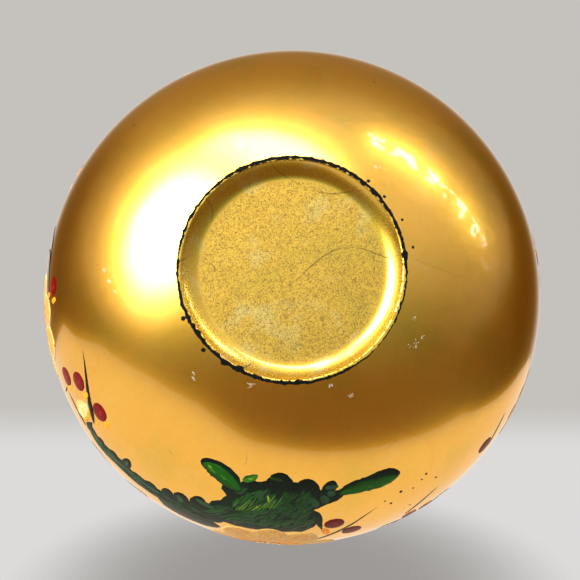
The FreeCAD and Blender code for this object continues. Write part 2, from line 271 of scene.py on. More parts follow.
class NodeTree:
    """The nodes of a material or of the world, with a few short ways to add more."""

    def __init__(self, owner):
        owner.use_nodes = True
        self.tree = owner.node_tree
        self.tree.nodes.clear()

    def add(self, kind, **settings):
        node = self.tree.nodes.new(kind)
        for key, value in settings.items():
            setattr(node, key, value)
        return node

    def feed(self, source, target):
        """Fills a node's input from a number, a colour or another node's output."""
        if isinstance(source, float):
            target.default_value = source
        elif isinstance(source, tuple):
            target.default_value = (*source, 1.0)
        else:
            self.tree.links.new(source, target)

    def surface(self, shader):
        """Makes a shader the material's surface."""
        self.feed(shader, self.add("ShaderNodeOutputMaterial").inputs["Surface"])

    def mix(self, share, under, over, mode="MIX"):
        """Two colours mixed; share is a number or a value."""
        node = self.add("ShaderNodeMix", data_type="RGBA", blend_type=mode)
        self.feed(share, node.inputs[MIX_SHARE])
        self.feed(under, node.inputs[MIX_UNDER])
        self.feed(over, node.inputs[MIX_OVER])
        return node.outputs[MIX_RESULT]

    def ramp(self, value, stops, interpolation="LINEAR"):
        """Colour from a value, through stops of position and linear red, green, blue."""
        ramp = self.add("ShaderNodeValToRGB")
        ramp.color_ramp.interpolation = interpolation
        elements = ramp.color_ramp.elements
        while len(elements) < len(stops):
            elements.new(1.0)
        for element, (position, colour) in zip(elements, stops):
            element.position = position
            element.color = (*colour, 1.0)
        self.feed(value, ramp.inputs["Fac"])
        return ramp.outputs["Color"]


class Shading(NodeTree):
    """A new material whose nodes feed one shader."""

    def __init__(self, name):
        self.material = bpy.data.materials.new(name)
        super().__init__(self.material)
        self.shader = self.add("ShaderNodeBsdfPrincipled")
        self.surface(self.shader.outputs["BSDF"])

    def set(self, **values):
        """Even values of the shader: underscores in a name stand for spaces."""
        for key, value in values.items():
            self.shader.inputs[key.replace("_", " ")].default_value = value

    def place(self, stretch=(1.0, 1.0, 1.0)):
        """Position on the bowl in metres, stretched along the axes."""
        mapping = self.add("ShaderNodeMapping")
        mapping.inputs["Scale"].default_value = stretch
        self.feed(self.add("ShaderNodeTexCoord").outputs["Object"], mapping.inputs["Vector"])
        return mapping.outputs["Vector"]

    def distance(self):
        """Distance from the turning axis in metres."""
        node = self.add("ShaderNodeVectorMath", operation="LENGTH")
        self.feed(self.place((1.0, 1.0, 0.0)), node.inputs[0])
        return node.outputs["Value"]

    def noise(self, vector, size, detail=3.0, distortion=0.0):
        """Cloudy value with features of a size in metres."""
        texture = self.add("ShaderNodeTexNoise")
        texture.inputs["Scale"].default_value = 1.0 / size
        texture.inputs["Detail"].default_value = detail
        texture.inputs["Roughness"].default_value = 0.55
        texture.inputs["Distortion"].default_value = distortion
        self.feed(vector, texture.inputs["Vector"])
        return texture.outputs["Fac"]

    def spread(self, value, low, high, start=0.0, end=1.0):
        """The value moved from one range to another."""
        node = self.add("ShaderNodeMapRange")
        node.inputs["From Min"].default_value = start
        node.inputs["From Max"].default_value = end
        node.inputs["To Min"].default_value = low
        node.inputs["To Max"].default_value = high
        self.feed(value, node.inputs["Value"])
        return node.outputs["Result"]

    def line(self, value, half_width, contrast, shade):
        """White with a dark line where the value passes its middle."""
        dark = tuple((1.0 - contrast) * part for part in shade)
        return self.ramp(value, [(0.5 - half_width, WHITE), (0.5, dark), (0.5 + half_width, WHITE)])

    def bump(self, value, strength, depth):
        node = self.add("ShaderNodeBump")
        node.inputs["Strength"].default_value = strength
        node.inputs["Distance"].default_value = depth
        self.feed(value, node.inputs["Height"])
        self.feed(node.outputs["Normal"], self.shader.inputs["Normal"])

    def colour(self, *layers):
        """The shader's colour: layers multiplied together."""
        base = layers[0]
        for layer in layers[1:]:
            base = self.mix(1.0, base, layer, "MULTIPLY")
        self.feed(base, self.shader.inputs["Base Color"])

    def roughness(self, source):
        self.feed(source, self.shader.inputs["Roughness"])


def gold_lacquer(name, grain_contrast, fibre_contrast, haze, flake_depth, olive=0.0):
    """Metal flakes under yellow varnish: fibrous grain, cloudy tint and a hard clear gloss.

    The fibres keep to the flat middle of the foot's recess, or of the hollow.
    """
    shading = Shading(name)
    shading.set(Metallic=1.0, Coat_Weight=1.0, Coat_Roughness=0.06, Coat_IOR=1.55)
    shading.set(Specular_Tint=GLANCING_TINT)
    place = shading.place()
    flakes = shading.noise(place, FLAKE, detail=4.0, distortion=2.2)
    fibres = shading.noise(place, FIBRE, detail=3.0, distortion=1.4)
    hairs = shading.noise(place, HAIR, detail=0.0)
    gaps = shading.noise(place, HAIR_GAP, detail=1.0)
    smears = shading.noise(place, SMEAR, detail=4.0, distortion=0.4)

    tint = shading.ramp(shading.noise(place, CLOUD), CLOUD_TINTS)
    tint = shading.mix(shading.spread(smears, 0.0, haze, *SMEAR_RANGE), tint, SMEAR_TINT)
    tint = shading.mix(olive, tint, OLIVE_TINT, "MULTIPLY")
    dark = tuple((1.0 - grain_contrast) * part for part in GRAIN_SHADE)
    grain = shading.ramp(flakes, [(0.34, dark), (0.50, (0.95, 0.95, 0.95)), (0.66, WHITE)])
    curls = shading.line(fibres, FIBRE_WIDTH, fibre_contrast, GRAIN_SHADE)
    disc_edge = DISC_RADIUS * MM
    beyond = shading.spread(shading.distance(), 0.0, 1.0, disc_edge - FIBRE_FADE, disc_edge)
    curls = shading.mix(beyond, curls, WHITE)
    scratch = shading.line(hairs, HAIR_WIDTH, fibre_contrast, HAIR_SHADE)
    scratch = shading.mix(shading.spread(gaps, 0.0, 1.0, *HAIR_GAP_RANGE), scratch, WHITE)
    shading.colour(tint, grain, curls, scratch)
    rougher = GOLD_SHEEN + 0.02 + 0.18 * grain_contrast
    shading.roughness(shading.spread(flakes, GOLD_SHEEN, rougher, 0.3, 0.7))
    shading.bump(flakes, 1.0, flake_depth)
    return shading.material


def black_ground():
    """Hard black ground with a dull, finely pitted face."""
    shading = Shading("black_ground")
    shading.set(Specular_IOR_Level=0.05)
    pits = shading.noise(shading.place(), PIT, detail=4.0)
    shading.colour(shading.ramp(pits, PIT_TONES))
    shading.roughness(shading.spread(pits, 0.35, 0.65))
    shading.bump(pits, 0.6, 0.0001)
    return shading.material


def lime_wood():
    """Pale turned wood with growth rings, fine pores and end grain."""
    shading = Shading("lime_wood")
    rings = shading.noise(shading.place((1.0, 0.25, 1.0)), GROWTH_RING, detail=5.0, distortion=0.6)
    pores = shading.noise(shading.place((1.0, 0.08, 1.0)), PORE, detail=2.0)
    grain = shading.ramp(pores, PORE_TONES)
    shading.colour(shading.mix(0.8, shading.ramp(rings, RING_TONES), grain, "MULTIPLY"))
    shading.roughness(shading.spread(rings, 0.50, 0.70))
    shading.bump(pores, 0.4, 0.0002)
    return shading.material


def brushed_paint():
    """Oil paint laid with a soft brush: the stroke's own tone, broken by the bristles' streaks."""
    shading = Shading("brushed_paint")
    shading.set(Coat_Weight=0.06, Coat_Roughness=0.08, Specular_IOR_Level=0.08)
    tone = shading.add("ShaderNodeAttribute", attribute_name="tone").outputs["Color"]
    brush = shading.add("ShaderNodeAttribute", attribute_name="brush").outputs["Vector"]
    streaks = shading.noise(brush, 1.0, detail=4.0, distortion=0.4)
    shading.colour(tone, shading.ramp(streaks, STREAK_TONES))
    shading.roughness(shading.spread(streaks, 0.28, 0.45))
    shading.bump(streaks, 0.5, 0.00012)
    return shading.material


GOLD = gold_lacquer("gold_wall", 0.06, 0.03, 0.10, 0.000001)
GOLD_RECESS = gold_lacquer("gold_recess", 0.20, 0.66, 0.50, 0.000012, olive=1.0)
GOLD_INSIDE = gold_lacquer("gold_inside", 0.18, 0.10, 0.20, 0.00001)
BLACK = black_ground()
PAINT = brushed_paint()


# ---- Gold, ground and lip ----------------------------------------------------------------------

# Width of the bare black line along the foot edge, every 30 degrees of bearing.
FOOT_WEAR = [1.6, 1.3, 0.9, 1.1, 1.4, 1.5, 1.6, 1.4, 0.6, 0.4, 1.1, 1.4]
WEAR_STEP = 360.0 / len(FOOT_WEAR)
WEAR_SHARE_INSIDE = 0.92
COARSE_CHIP = 2.2         # length of a large chip in the edge, and of a small one
FINE_CHIP = 0.8
BLOB_LENGTH = 2.6         # length of a rare wide patch, in coarse chips
BLOB_START = 0.30
INNER_SEED = 3.0          # seeds keep the ragged values apart
OUTER_SEED = 11.0
FINE_SEED = 40.0
BLOB_SEED = 80.0
PITTING_SEED = 7.0
LIP_SEED = 21.0

WALL_CROWD = 1.3          # rows on the wall crowd towards the foot by this power
COVE_OVERRUN = 1.0        # the hollow slope's rows stop this far short of the disc
SOFT_EDGE = [(0.35, 0.22), (-0.40, 0.07)]    # outward of the disc's edge, and below its face
DISC_RIM = 1.2
DISC_UNEVENNESS = 0.10
DISC_UNEVEN_LENGTH = 22.0
DISC_FLAT_RIM = 4.0       # the disc's unevenness grows over this width from its edge
HOLLOW_FLAT_MIDDLE = 20.0

EDGE_SUNK = 0.09          # the black ground lies this far under the gold's face
EDGE_PITTING = 0.05
EDGE_ROWS = 10
EDGE_INWARD = 3.6         # how far the black ground reaches into the cove, and up the wall
EDGE_UP_WALL = (0.5, 1.3, 2.2, 3.2, 4.2)

LIP_RAISED = 0.10
LIP_SUNK = 0.5            # how far the band's back lies inside the wood
LIP_HAND = 0.35           # unevenness of the band's hand-painted edge
LIP_HAND_LENGTH = 30.0
LIP_ROWS = 7
LIP_TURN_ROWS = 17
GOLD_UNDER_LIP = 1.5      # the gold runs on this far under the band
UPPER_HOLLOW_ROWS = 8
AXIS_GAP = 1.0e-6         # points closer than this, in metres, are one

WALL_ROUND = 960          # sections around the wall, the recess and the hollow
WALL_ROWS = 64
BACK_ROWS = 34
COVE_ROWS = 20
DISC_ROWS = 16
HOLLOW_ROUND = 360
HOLLOW_ROWS = 60


def along_edge(bearing, length, seed):
    """A ragged value around the foot edge, with bumps of one length."""
    angle = math.radians(bearing)
    circle = Vector((math.cos(angle), math.sin(angle), 0.0)) * FOOT_RADIUS / length
    return noise.noise(circle + Vector((0.0, 0.0, seed)))


def worn_width(bearing):
    """Mean width of the bare line at a bearing."""
    place = (bearing % 360.0) / WEAR_STEP
    index = int(place)
    share = place - index
    here = FOOT_WEAR[index]
    there = FOOT_WEAR[(index + 1) % len(FOOT_WEAR)]
    return here + (there - here) * (share * share * (3.0 - 2.0 * share))


def bare_line(bearing):
    """How far the bare line reaches inward and outward from the sharp foot edge."""
    mean = worn_width(bearing)
    reaches = []
    for seed, share in ((INNER_SEED, WEAR_SHARE_INSIDE), (OUTER_SEED, 1.0 - WEAR_SHARE_INSIDE)):
        chips = 1.5 * along_edge(bearing, COARSE_CHIP, seed)
        chips += 0.9 * along_edge(bearing, FINE_CHIP, seed + FINE_SEED)
        patch = along_edge(bearing, BLOB_LENGTH * COARSE_CHIP, seed + BLOB_SEED)
        blob = max(0.0, patch - BLOB_START) * 1.6
        reaches.append(max(0.0, mean * share + (0.26 + 0.15 * mean) * chips + blob * mean))
    return reaches


def spaced(start, end, count, crowd=1.0):
    """Evenly spaced values, crowded towards the start by a power."""
    return [start + (end - start) * (step / (count - 1.0)) ** crowd for step in range(count)]


def on_wall(bearing, length, lift):
    """Radius and height of the uneven outer wall, at a distance along it from the foot edge."""
    point = wall_surface(bearing, WALL.angle_after(length), lift)
    return math.hypot(point.x, point.y), point.z


WALL_LENGTH = WALL.length_at(WALL.angle_at(LIP_BAND_FROM + GOLD_UNDER_LIP))


def gold_wall_section(bearing):
    foot_end = bare_line(bearing)[1]
    rows = spaced(foot_end, WALL_LENGTH, WALL_ROWS, WALL_CROWD)
    back_rows = spaced(foot_end, WALL_LENGTH, BACK_ROWS, WALL_CROWD)
    front = [on_wall(bearing, length, 0.0) for length in rows]
    back = [on_wall(bearing, length, -GOLD_LEAF) for length in back_rows]
    return front + back[::-1]


def under_foot(radius, depth):
    """Height of the land or of the hollow slope at a radius, at a depth under its face."""
    if radius > LAND_RADIUS:
        return depth
    reach = COVE_ROUND + depth
    climb = math.sqrt(reach ** 2 - (radius - COVE_CENTRE_RADIUS) ** 2)
    return max(depth, COVE_CENTRE_HEIGHT + climb)


def recess_surface(bearing, depth, rim_radius):
    """The land, the hollow slope, its soft upper edge and the disc, from the bare line inward."""
    disc_height = RECESS_DEPTH + depth
    slope = spaced(rim_radius, DISC_RADIUS + COVE_OVERRUN, COVE_ROWS)
    points = [(radius, under_foot(radius, depth)) for radius in slope]
    points += [(DISC_RADIUS + outward, disc_height - below) for outward, below in SOFT_EDGE]
    turn = math.radians(bearing)
    for radius in spaced(DISC_RADIUS - DISC_RIM, 0.0, DISC_ROWS):
        spot = Vector((radius * math.cos(turn), radius * math.sin(turn), 0.0))
        fade = min(1.0, (DISC_RADIUS - radius) / DISC_FLAT_RIM)
        wave = DISC_UNEVENNESS * fade * noise.noise(spot / DISC_UNEVEN_LENGTH)
        points.append((radius, disc_height + wave))
    return points


def gold_recess_section(bearing):
    rim_radius = FOOT_RADIUS - bare_line(bearing)[0]
    front = recess_surface(bearing, 0.0, rim_radius)
    back = recess_surface(bearing, GOLD_LEAF, rim_radius)
    return front + back[::-1]


def foot_edge_section(bearing):
    """Black ground under the foot edge: inside the cove, across the land and up the wall."""
    depth = EDGE_SUNK + EDGE_PITTING * along_edge(bearing, FINE_CHIP, PITTING_SEED)
    radii = spaced(LAND_RADIUS - EDGE_INWARD, FOOT_RADIUS - 0.35, EDGE_ROWS)
    points = [(radius, under_foot(radius, depth)) for radius in radii]
    points.append((FOOT_RADIUS - 0.04, depth + 0.06))
    points += [on_wall(bearing, length, -depth) for length in EDGE_UP_WALL]
    points.append((LAND_RADIUS, RECESS_DEPTH - 0.6))
    return points


def lip_section(bearing):
    """The painted band: up the wall, over the rounded lip and down inside."""
    hand = LIP_HAND * along_edge(bearing, LIP_HAND_LENGTH, LIP_SEED)
    outer = [
        on_wall(bearing, WALL.length_at(WALL.angle_at(height)), LIP_RAISED)
        for height in spaced(LIP_BAND_FROM + hand, LIP_CENTRE_HEIGHT, LIP_ROWS)
    ]
    half = LIP_THICKNESS / 2.0
    outer_radius = WALL.point(WALL.angle_at(LIP_CENTRE_HEIGHT))[0]
    centre = outer_radius - half
    over = [
        (
            centre + (half + LIP_RAISED) * math.cos(math.radians(angle)),
            LIP_CENTRE_HEIGHT + half * math.sin(math.radians(angle)),
        )
        for angle in spaced(10.0, 170.0, LIP_TURN_ROWS)
    ]
    inner = [
        (upper_hollow_radius(height) - LIP_RAISED, height)
        for height in spaced(LIP_CENTRE_HEIGHT, LIP_BAND_FROM - hand, LIP_ROWS)
    ]
    inner_back = centre - half + LIP_SUNK
    outer_back = outer_radius - LIP_SUNK
    back = [
        (inner_back, LIP_BAND_FROM),
        (inner_back, LIP_CENTRE_HEIGHT),
        (centre, LIP_CENTRE_HEIGHT + half - LIP_SUNK),
        (outer_back, LIP_CENTRE_HEIGHT),
        (outer_back + 0.6, LIP_BAND_FROM),
    ]
    return outer + over + inner + back


def upper_hollow_radius(height):
    """Radius of the hollow above the widest belt, where it turns slightly inward."""
    lip_inner = WALL.point(WALL.angle_at(LIP_CENTRE_HEIGHT))[0] - LIP_THICKNESS
    setback = HOLLOW_RADIUS - lip_inner
    rise = LIP_CENTRE_HEIGHT - WIDEST_HEIGHT
    turn_round = (rise ** 2 + setback ** 2) / (2.0 * setback)
    climb = height - WIDEST_HEIGHT
    return HOLLOW_RADIUS - turn_round + math.sqrt(turn_round ** 2 - climb ** 2)


def hollow_section(bearing):
    """Gold of the hollow, from under the lip band down to the axis."""
    turn = math.radians(bearing)
    front = []
    back = []
    for height in spaced(LIP_BAND_FROM + GOLD_UNDER_LIP, WIDEST_HEIGHT + 0.6, UPPER_HOLLOW_ROWS):
        radius = upper_hollow_radius(height)
        front.append((radius, height))
        back.append((radius + GOLD_LEAF, height))
    for angle in spaced(math.pi / 2.0, 0.0, HOLLOW_ROWS):
        radius, height = HOLLOW.point(angle)
        spot = Vector((radius * math.cos(turn), radius * math.sin(turn), height))
        wave = unevenness(spot) * min(1.0, radius / HOLLOW_FLAT_MIDDLE)
        side, down = math.sin(angle), -math.cos(angle)
        front.append((radius + wave * side, height + wave * down))
        deeper = wave + GOLD_LEAF
        back.append((max(0.0, radius + deeper * side * min(1.0, radius)), height + deeper * down))
    return front + back[::-1]


def close_at_axis(piece):
    """Joins the points that meet on the axis."""
    mesh = bmesh.new()
    mesh.from_mesh(piece.data)
    bmesh.ops.remove_doubles(mesh, verts=mesh.verts, dist=AXIS_GAP)
    mesh.to_mesh(piece.data)
    mesh.free()
    piece.data.set_sharp_from_angle(angle=math.radians(SHARP_BEND))


turned_piece("gold_wall", gold_wall_section, WALL_ROUND, GOLD, ["gold_coat_outside"])
recess = turned_piece(
    "gold_recess", gold_recess_section, WALL_ROUND, GOLD_RECESS, ["gold_coat_recess"]
)
close_at_axis(recess)
hollow = turned_piece(
    "gold_hollow", hollow_section, HOLLOW_ROUND, GOLD_INSIDE, ["gold_coat_inside"]
)
close_at_axis(hollow)
turned_piece(
    "foot_edge_ground", foot_edge_section, WALL_ROUND, BLACK, ["foot_edge"]
)
turned_piece("lip_paint_band", lip_section, WALL_ROUND // 2, BLACK, ["lip_band"])

# CAD pieces that stay, hidden under the gold.
HIDDEN_NODES = {
    "wood_core": lime_wood(),
    "ground_coat_outside": BLACK,
    "ground_coat_recess": BLACK,
    "ground_coat_inside": BLACK,
}
for node_name, material in HIDDEN_NODES.items():
    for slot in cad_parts[node_name].material_slots:
        slot.material = material


# ---- Brushwork ---------------------------------------------------------------------------------

BLACK_GREEN = (0.001, 0.004, 0.003)
DEEP_GREEN = (0.003, 0.016, 0.008)
GREY_GREEN = (0.022, 0.070, 0.030)
LEAF_GREEN = (0.008, 0.095, 0.004)
DARK_LEAF = (0.010, 0.045, 0.006)
BRIGHT_GREEN = (0.035, 0.190, 0.008)
YELLOW_GREEN = (0.230, 0.380, 0.030)
BERRY_RED = (0.150, 0.001, 0.001)
BERRY_LIGHT = (0.300, 0.012, 0.010)
ORANGE = (1.000, 0.330, 0.010)
CREAM = (0.720, 0.390, 0.085)
CREAM_LIGHT = (0.920, 0.660, 0.260)
OCHRE = (0.760, 0.320, 0.030)
BROWN = (0.070, 0.030, 0.008)
OLIVE = (0.050, 0.060, 0.010)
# Pale tone of the chalky scuffs, and of the painted glints that stand in for highlights.
SCUFF_AND_GLINT_PALE = (0.720, 0.690, 0.560)


def mixed(first, second, share):
    """A colour between two others."""
    return tuple(a + (b - a) * share for a, b in zip(first, second))


def even(colour):
    """A stroke of one tone, a little lighter where the paint thins."""
    return lambda along, across: mixed(colour, tuple(1.5 * c + 0.004 for c in colour), 0.25 * along)


def two_tone(start, end):
    """A stroke that goes from one tone at its root to another at its tip."""
    return lambda along, across: mixed(start, end, along)


def edged(body, edge, reach=0.62):
    """A stroke with another tone along both edges and its tip."""
    def shade(along, across):
        out = max(abs(across), along ** 3)
        return mixed(body, edge, max(0.0, (out - reach) / (1.0 - reach)))
    return shade


def one_sided(body, edge):
    """A stroke with another tone along one edge."""
    return lambda along, across: mixed(body, edge, max(0.0, across) ** 1.5)


def curve_through(points, share):
    """Point and direction on a smooth curve through flat points, at a share of its way."""
    spans = len(points) - 1
    place = min(share, 0.9999) * spans
    index = int(place)
    t = place - index
    p1, p2 = points[index], points[index + 1]
    p0 = points[index - 1] if index else p1 * 2.0 - p2
    p3 = points[index + 2] if index + 2 <= spans else p2 * 2.0 - p1
    bend = p0 * 2.0 - p1 * 5.0 + p2 * 4.0 - p3
    twist = p1 * 3.0 - p0 - p2 * 3.0 + p3
    point = (p1 * 2.0 + (p2 - p0) * t + bend * t ** 2 + twist * t ** 3) * 0.5
    heading = (p2 - p0 + bend * (2.0 * t) + twist * (3.0 * t ** 2)) * 0.5
    return point, heading.normalized()


# How a stroke's width grows from its end: a power of the distance.
BLUNT_END = 0.38
ROUND_END = 0.5
POINTED_END = 0.95
THINNEST = 0.004          # share of a stroke's length that its very end counts as
OVAL_END = 0.02           # share of the width that is left at the end of a round dab
GRAIN_SEEDS = 500.0
WANDER_LENGTH = 1.4       # lengths of the wander of a stroke's edges and of its ridges
RIDGE_LENGTH = 5.0
STREAK_LENGTH = 6.0       # size of the bristles' streaks along and across a stroke
STREAK_WIDTH = 1.1
# Rows and columns of points in the common kinds of stroke, and what bristle marks share.
SHORT = {"rows": 9, "columns": 5}
SHORTER = {"rows": 8, "columns": 5}
LONG_THIN = {"rows": 26, "columns": 5}
HAIRLINE = {"rows": 14, "columns": 3}
BROAD = {"rows": 30, "columns": 11}
LEAF = {"rows": 22, "columns": 9}
BRISTLE = {"thick": 0.05, "bed": 0.21, "ragged": 0.15, **SHORTER}
TAPERED = {"root": 0.7, "root_end": POINTED_END, "tip": 0.2}
SUNK_RIM = 0.05           # a stroke's rim lies this far under the gold's face


class Brushwork:
    """Strokes of paint laid on the outer wall, gathered into one mesh."""

    def __init__(self, seed):
        self.chance = random.Random(seed)
        self.vertices = []
        self.faces = []
        self.tones = []
        self.brush = []

    def stroke(self, path, width, shade, thick=0.22, bed=0.0, root=0.25, tip=0.25,
               root_end=ROUND_END, tip_end=ROUND_END, ragged=0.05, rows=16, columns=7, oval=False):
        """One domed stroke. path holds bearings and heights; width and thick are in millimetres."""
        middle = path[len(path) // 2]
        scale = math.radians(1.0) * WALL.point(WALL.angle_at(middle[1]))[0]
        flat = [
            Vector((bearing * scale, WALL.length_at(WALL.angle_at(height)), 0.0))
            for bearing, height in path
        ]
        length = sum((b - a).length for a, b in zip(flat, flat[1:]))
        grain = self.chance.uniform(0.0, GRAIN_SEEDS)
        start = len(self.vertices)
        for row in range(rows):
            along = row / (rows - 1.0)
            point, heading = curve_through(flat, along)
            side = Vector((-heading.y, heading.x, 0.0))
            if oval:
                fullness = math.sqrt(max(OVAL_END ** 2, 1.0 - (2.0 * along - 1.0) ** 2))
            else:
                fullness = min(1.0, max(along, THINNEST) / root) ** root_end
                fullness *= min(1.0, max(1.0 - along, THINNEST) / tip) ** tip_end
            for column in range(columns):
                across = 2.0 * column / (columns - 1.0) - 1.0
                place = Vector((along * length / WANDER_LENGTH, across, grain))
                wander = ragged * width * noise.noise(place)
                reach = across * (0.5 * width * fullness + wander * min(1.0, 3.0 * fullness))
                spot = point + side * reach
                crown = (1.0 - abs(across) ** 4) * min(1.0, 2.5 * fullness)
                place = Vector((along * length / RIDGE_LENGTH, across * 3.5, grain))
                ridge = 0.25 * noise.noise(place)
                lift = bed + thick * crown * (0.8 + ridge) - SUNK_RIM * (1.0 - crown)
                if crown == 0.0:
                    lift = -SUNK_RIM
                angle = WALL.angle_after(max(spot.y, 0.0))
                self.vertices.append(wall_surface(spot.x / scale, angle, lift))
                self.tones.append((*shade(along, across), 1.0))
                self.brush.append((along * length / STREAK_LENGTH, across * width / STREAK_WIDTH, grain))
        for row in range(rows - 1):
            here = start + row * columns
            there = here + columns
            for column in range(columns - 1):
                self.faces.append((here + column, here + column + 1, there + column + 1, there + column))
            self.faces.append((here, there, there + columns - 1, here + columns - 1))
        last = start + (rows - 1) * columns
        self.faces.append(tuple(start + column for column in range(columns)))
        self.faces.append(tuple(last + column for column in reversed(range(columns))))

    def dot(self, bearing, height, size, shade, stretch=1.0, **options):
        """A round dab, drawn along the wall's slope."""
        scale = WALL.point(WALL.angle_at(height))[0]
        half = math.degrees(0.5 * size * stretch / scale)
        path = [(bearing - half, height), (bearing, height), (bearing + half, height)]
        self.stroke(path, size, shade, rows=14, columns=9, oval=True, **options)

    def piece(self, name, slot_name, replaced):
        made = new_piece(name, self.vertices, self.faces, PAINT, replaced,
                         PAINT_SHARP_BEND)
        tone = made.data.attributes.new("tone", "FLOAT_COLOR", "POINT")
        tone.data.foreach_set("color", [value for colour in self.tones for value in colour])
        brush = made.data.attributes.new("brush", "FLOAT_VECTOR", "POINT")
        brush.data.foreach_set("vector", [value for vector in self.brush for value in vector])
        return made


def beside(bearing, height, sideways, downward):
    """The bearing and height that lie so many millimetres sideways and down the wall."""
    angle = WALL.angle_at(height)
    scale = WALL.point(angle)[0]
    length = max(0.0, WALL.length_at(angle) - downward)
    return bearing + math.degrees(sideways / scale), WALL.point(WALL.angle_after(length))[1]


# The low spray is one dark mass: wide strokes along it, of path and width.
SPRAY_MASS = [
    ([(-28.8, 27.5), (-34.0, 25.0), (-41.0, 23.6), (-47.0, 23.8), (-51.5, 25.6)], 8.5),
    ([(-27.4, 33.0), (-34.0, 30.0), (-41.0, 28.6), (-48.0, 29.2), (-52.6, 31.0)], 14.0),
    ([(-23.0, 43.5), (-31.5, 40.0), (-40.0, 39.4), (-47.0, 39.4), (-51.0, 39.8)], 21.0),
    ([(-13.0, 52.0), (-20.0, 55.5), (-28.6, 54.0)], 15.0),
    ([(-15.0, 48.0), (-22.0, 46.0), (-29.0, 47.0)], 14.0),
    ([(10.4, 47.5), (5.5, 52.0), (-1.0, 50.3), (-8.0, 50.3), (-16.0, 48.0), (-24.0, 45.0)], 11.5),
    ([(-48.0, 31.5), (-53.0, 28.8), (-59.0, 26.8)], 7.5),
    ([(-32.0, 29.0), (-27.6, 24.6)], 11.0),
    ([(-31.0, 33.0), (-25.0, 38.6)], 9.0),
]

# Leaf ends that stand out of it: path from root to tip, width, and whether the tip is pointed.
SPRAY_LEAVES = [
    ([(-31.5, 27.0), (-27.4, 22.9), (-23.5, 21.5), (-19.0, 21.0)], 9.6, False),
    ([(-34.0, 30.0), (-34.0, 21.8)], 10.5, False),
    ([(-38.0, 28.0), (-38.0, 21.4)], 6.0, False),
    ([(-41.6, 30.0), (-41.6, 18.4)], 12.5, False),
    ([(-49.0, 31.0), (-49.0, 20.4)], 11.5, False),
    ([(-45.6, 29.0), (-45.6, 21.6)], 6.0, False),
    ([(-52.8, 28.0), (-56.4, 22.2)], 6.4, False),
    ([(-50.0, 33.0), (-51.0, 38.0), (-51.9, 47.6)], 5.4, True),
    ([(-22.3, 46.0), (-22.3, 35.2)], 8.6, False),
    ([(-18.0, 46.0), (-18.0, 38.2)], 8.0, False),
    ([(-14.6, 48.0), (-14.6, 40.4)], 6.5, False),
    ([(-10.3, 50.0), (-10.3, 43.8)], 8.0, False),
    ([(-6.2, 52.0), (-6.2, 45.4)], 7.0, False),
    ([(-2.8, 51.0), (-2.8, 40.8)], 5.6, False),
    ([(1.0, 52.0), (1.0, 45.4)], 7.0, False),
    ([(5.2, 53.0), (5.2, 46.8)], 6.5, False),
    ([(9.6, 53.0), (9.8, 44.2)], 5.0, True),
]
# The long leaf at the spray's far end widens towards its tip.
LONG_LEAF = [(-56.5, 27.6), (-61.0, 26.2), (-65.5, 26.6), (-69.5, 26.9), (-73.8, 28.0)]
LONG_LEAF_WIDTH = 10.0

# Lighter strokes over them: path, width, tone.
SPRAY_LIGHTS = [
    ([(-57.4, 27.2), (-63.0, 27.1), (-68.0, 27.9), (-73.0, 28.7)], 7.4, LEAF_GREEN),
    ([(-64.0, 27.8), (-69.0, 29.0), (-72.4, 29.2)], 2.4, BRIGHT_GREEN),
    ([(-31.6, 26.6), (-27.6, 24.0), (-23.8, 22.3), (-19.8, 21.5)], 8.4, LEAF_GREEN),
    ([(-27.6, 24.2), (-24.0, 22.8), (-21.0, 21.8)], 3.4, BRIGHT_GREEN),
    ([(-22.6, 21.9), (-21.2, 21.5)], 2.0, YELLOW_GREEN),
    ([(-31.6, 22.7), (-33.4, 21.6), (-35.4, 20.0)], 3.8, BRIGHT_GREEN),
    ([(-32.6, 21.9), (-34.2, 21.2)], 1.7, YELLOW_GREEN),
    ([(-57.4, 24.4), (-53.8, 24.2)], 3.4, GREY_GREEN),
    ([(-56.2, 27.2), (-54.2, 26.0)], 4.4, GREY_GREEN),
    ([(-53.6, 30.2), (-53.0, 26.8)], 4.6, GREY_GREEN),
    ([(-51.0, 31.4), (-50.6, 28.0)], 4.0, GREY_GREEN),
    ([(-42.6, 20.8), (-38.8, 20.2)], 2.0, DARK_LEAF),
    ([(-44.6, 28.4), (-43.0, 24.8)], 5.4, DARK_LEAF),
    ([(-45.4, 32.0), (-43.6, 29.0)], 4.0, DARK_LEAF),
    ([(-39.2, 29.2), (-38.7, 26.4)], 1.4, YELLOW_GREEN),
    ([(-36.6, 32.4), (-36.2, 31.2)], 1.3, YELLOW_GREEN),
    ([(-26.6, 39.0), (-21.4, 37.2)], 3.6, GREY_GREEN),
    ([(-18.6, 44.0), (-17.2, 40.0)], 3.6, GREY_GREEN),
    ([(-13.0, 48.0), (-6.0, 48.6)], 2.6, GREY_GREEN),
    ([(-4.0, 48.8), (3.0, 49.6)], 2.8, GREY_GREEN),
    ([(4.0, 50.4), (9.0, 49.4)], 2.2, GREY_GREEN),
    ([(-2.8, 46.0), (-2.8, 42.2)], 2.2, GREY_GREEN),
]

SPRAY_BERRIES = [
    (10.2, 35.2),
    (19.5, 37.8),
    (22.3, 46.5),
    (44.0, 43.5),
    (-54.8, 43.0),
    (-58.5, 53.0),
    (-95.0, 54.0),
]
BERRY_SIZE = 9.6

# Orange touches beside the berries and under the bud: start, end, width.
SPRAY_TOUCHES = [
    ((6.8, 33.6), (6.4, 38.4), 3.0),
    ((15.6, 35.0), (15.4, 40.0), 3.6),
    ((19.8, 46.0), (19.4, 50.6), 3.2),
    ((40.8, 41.0), (40.4, 45.4), 3.0),
    ((42.6, 48.2), (42.0, 51.2), 3.2),
    ((-52.3, 45.5), (-53.0, 53.0), 4.0),
    ((8.8, 39.4), (8.2, 42.2), 2.2),
]

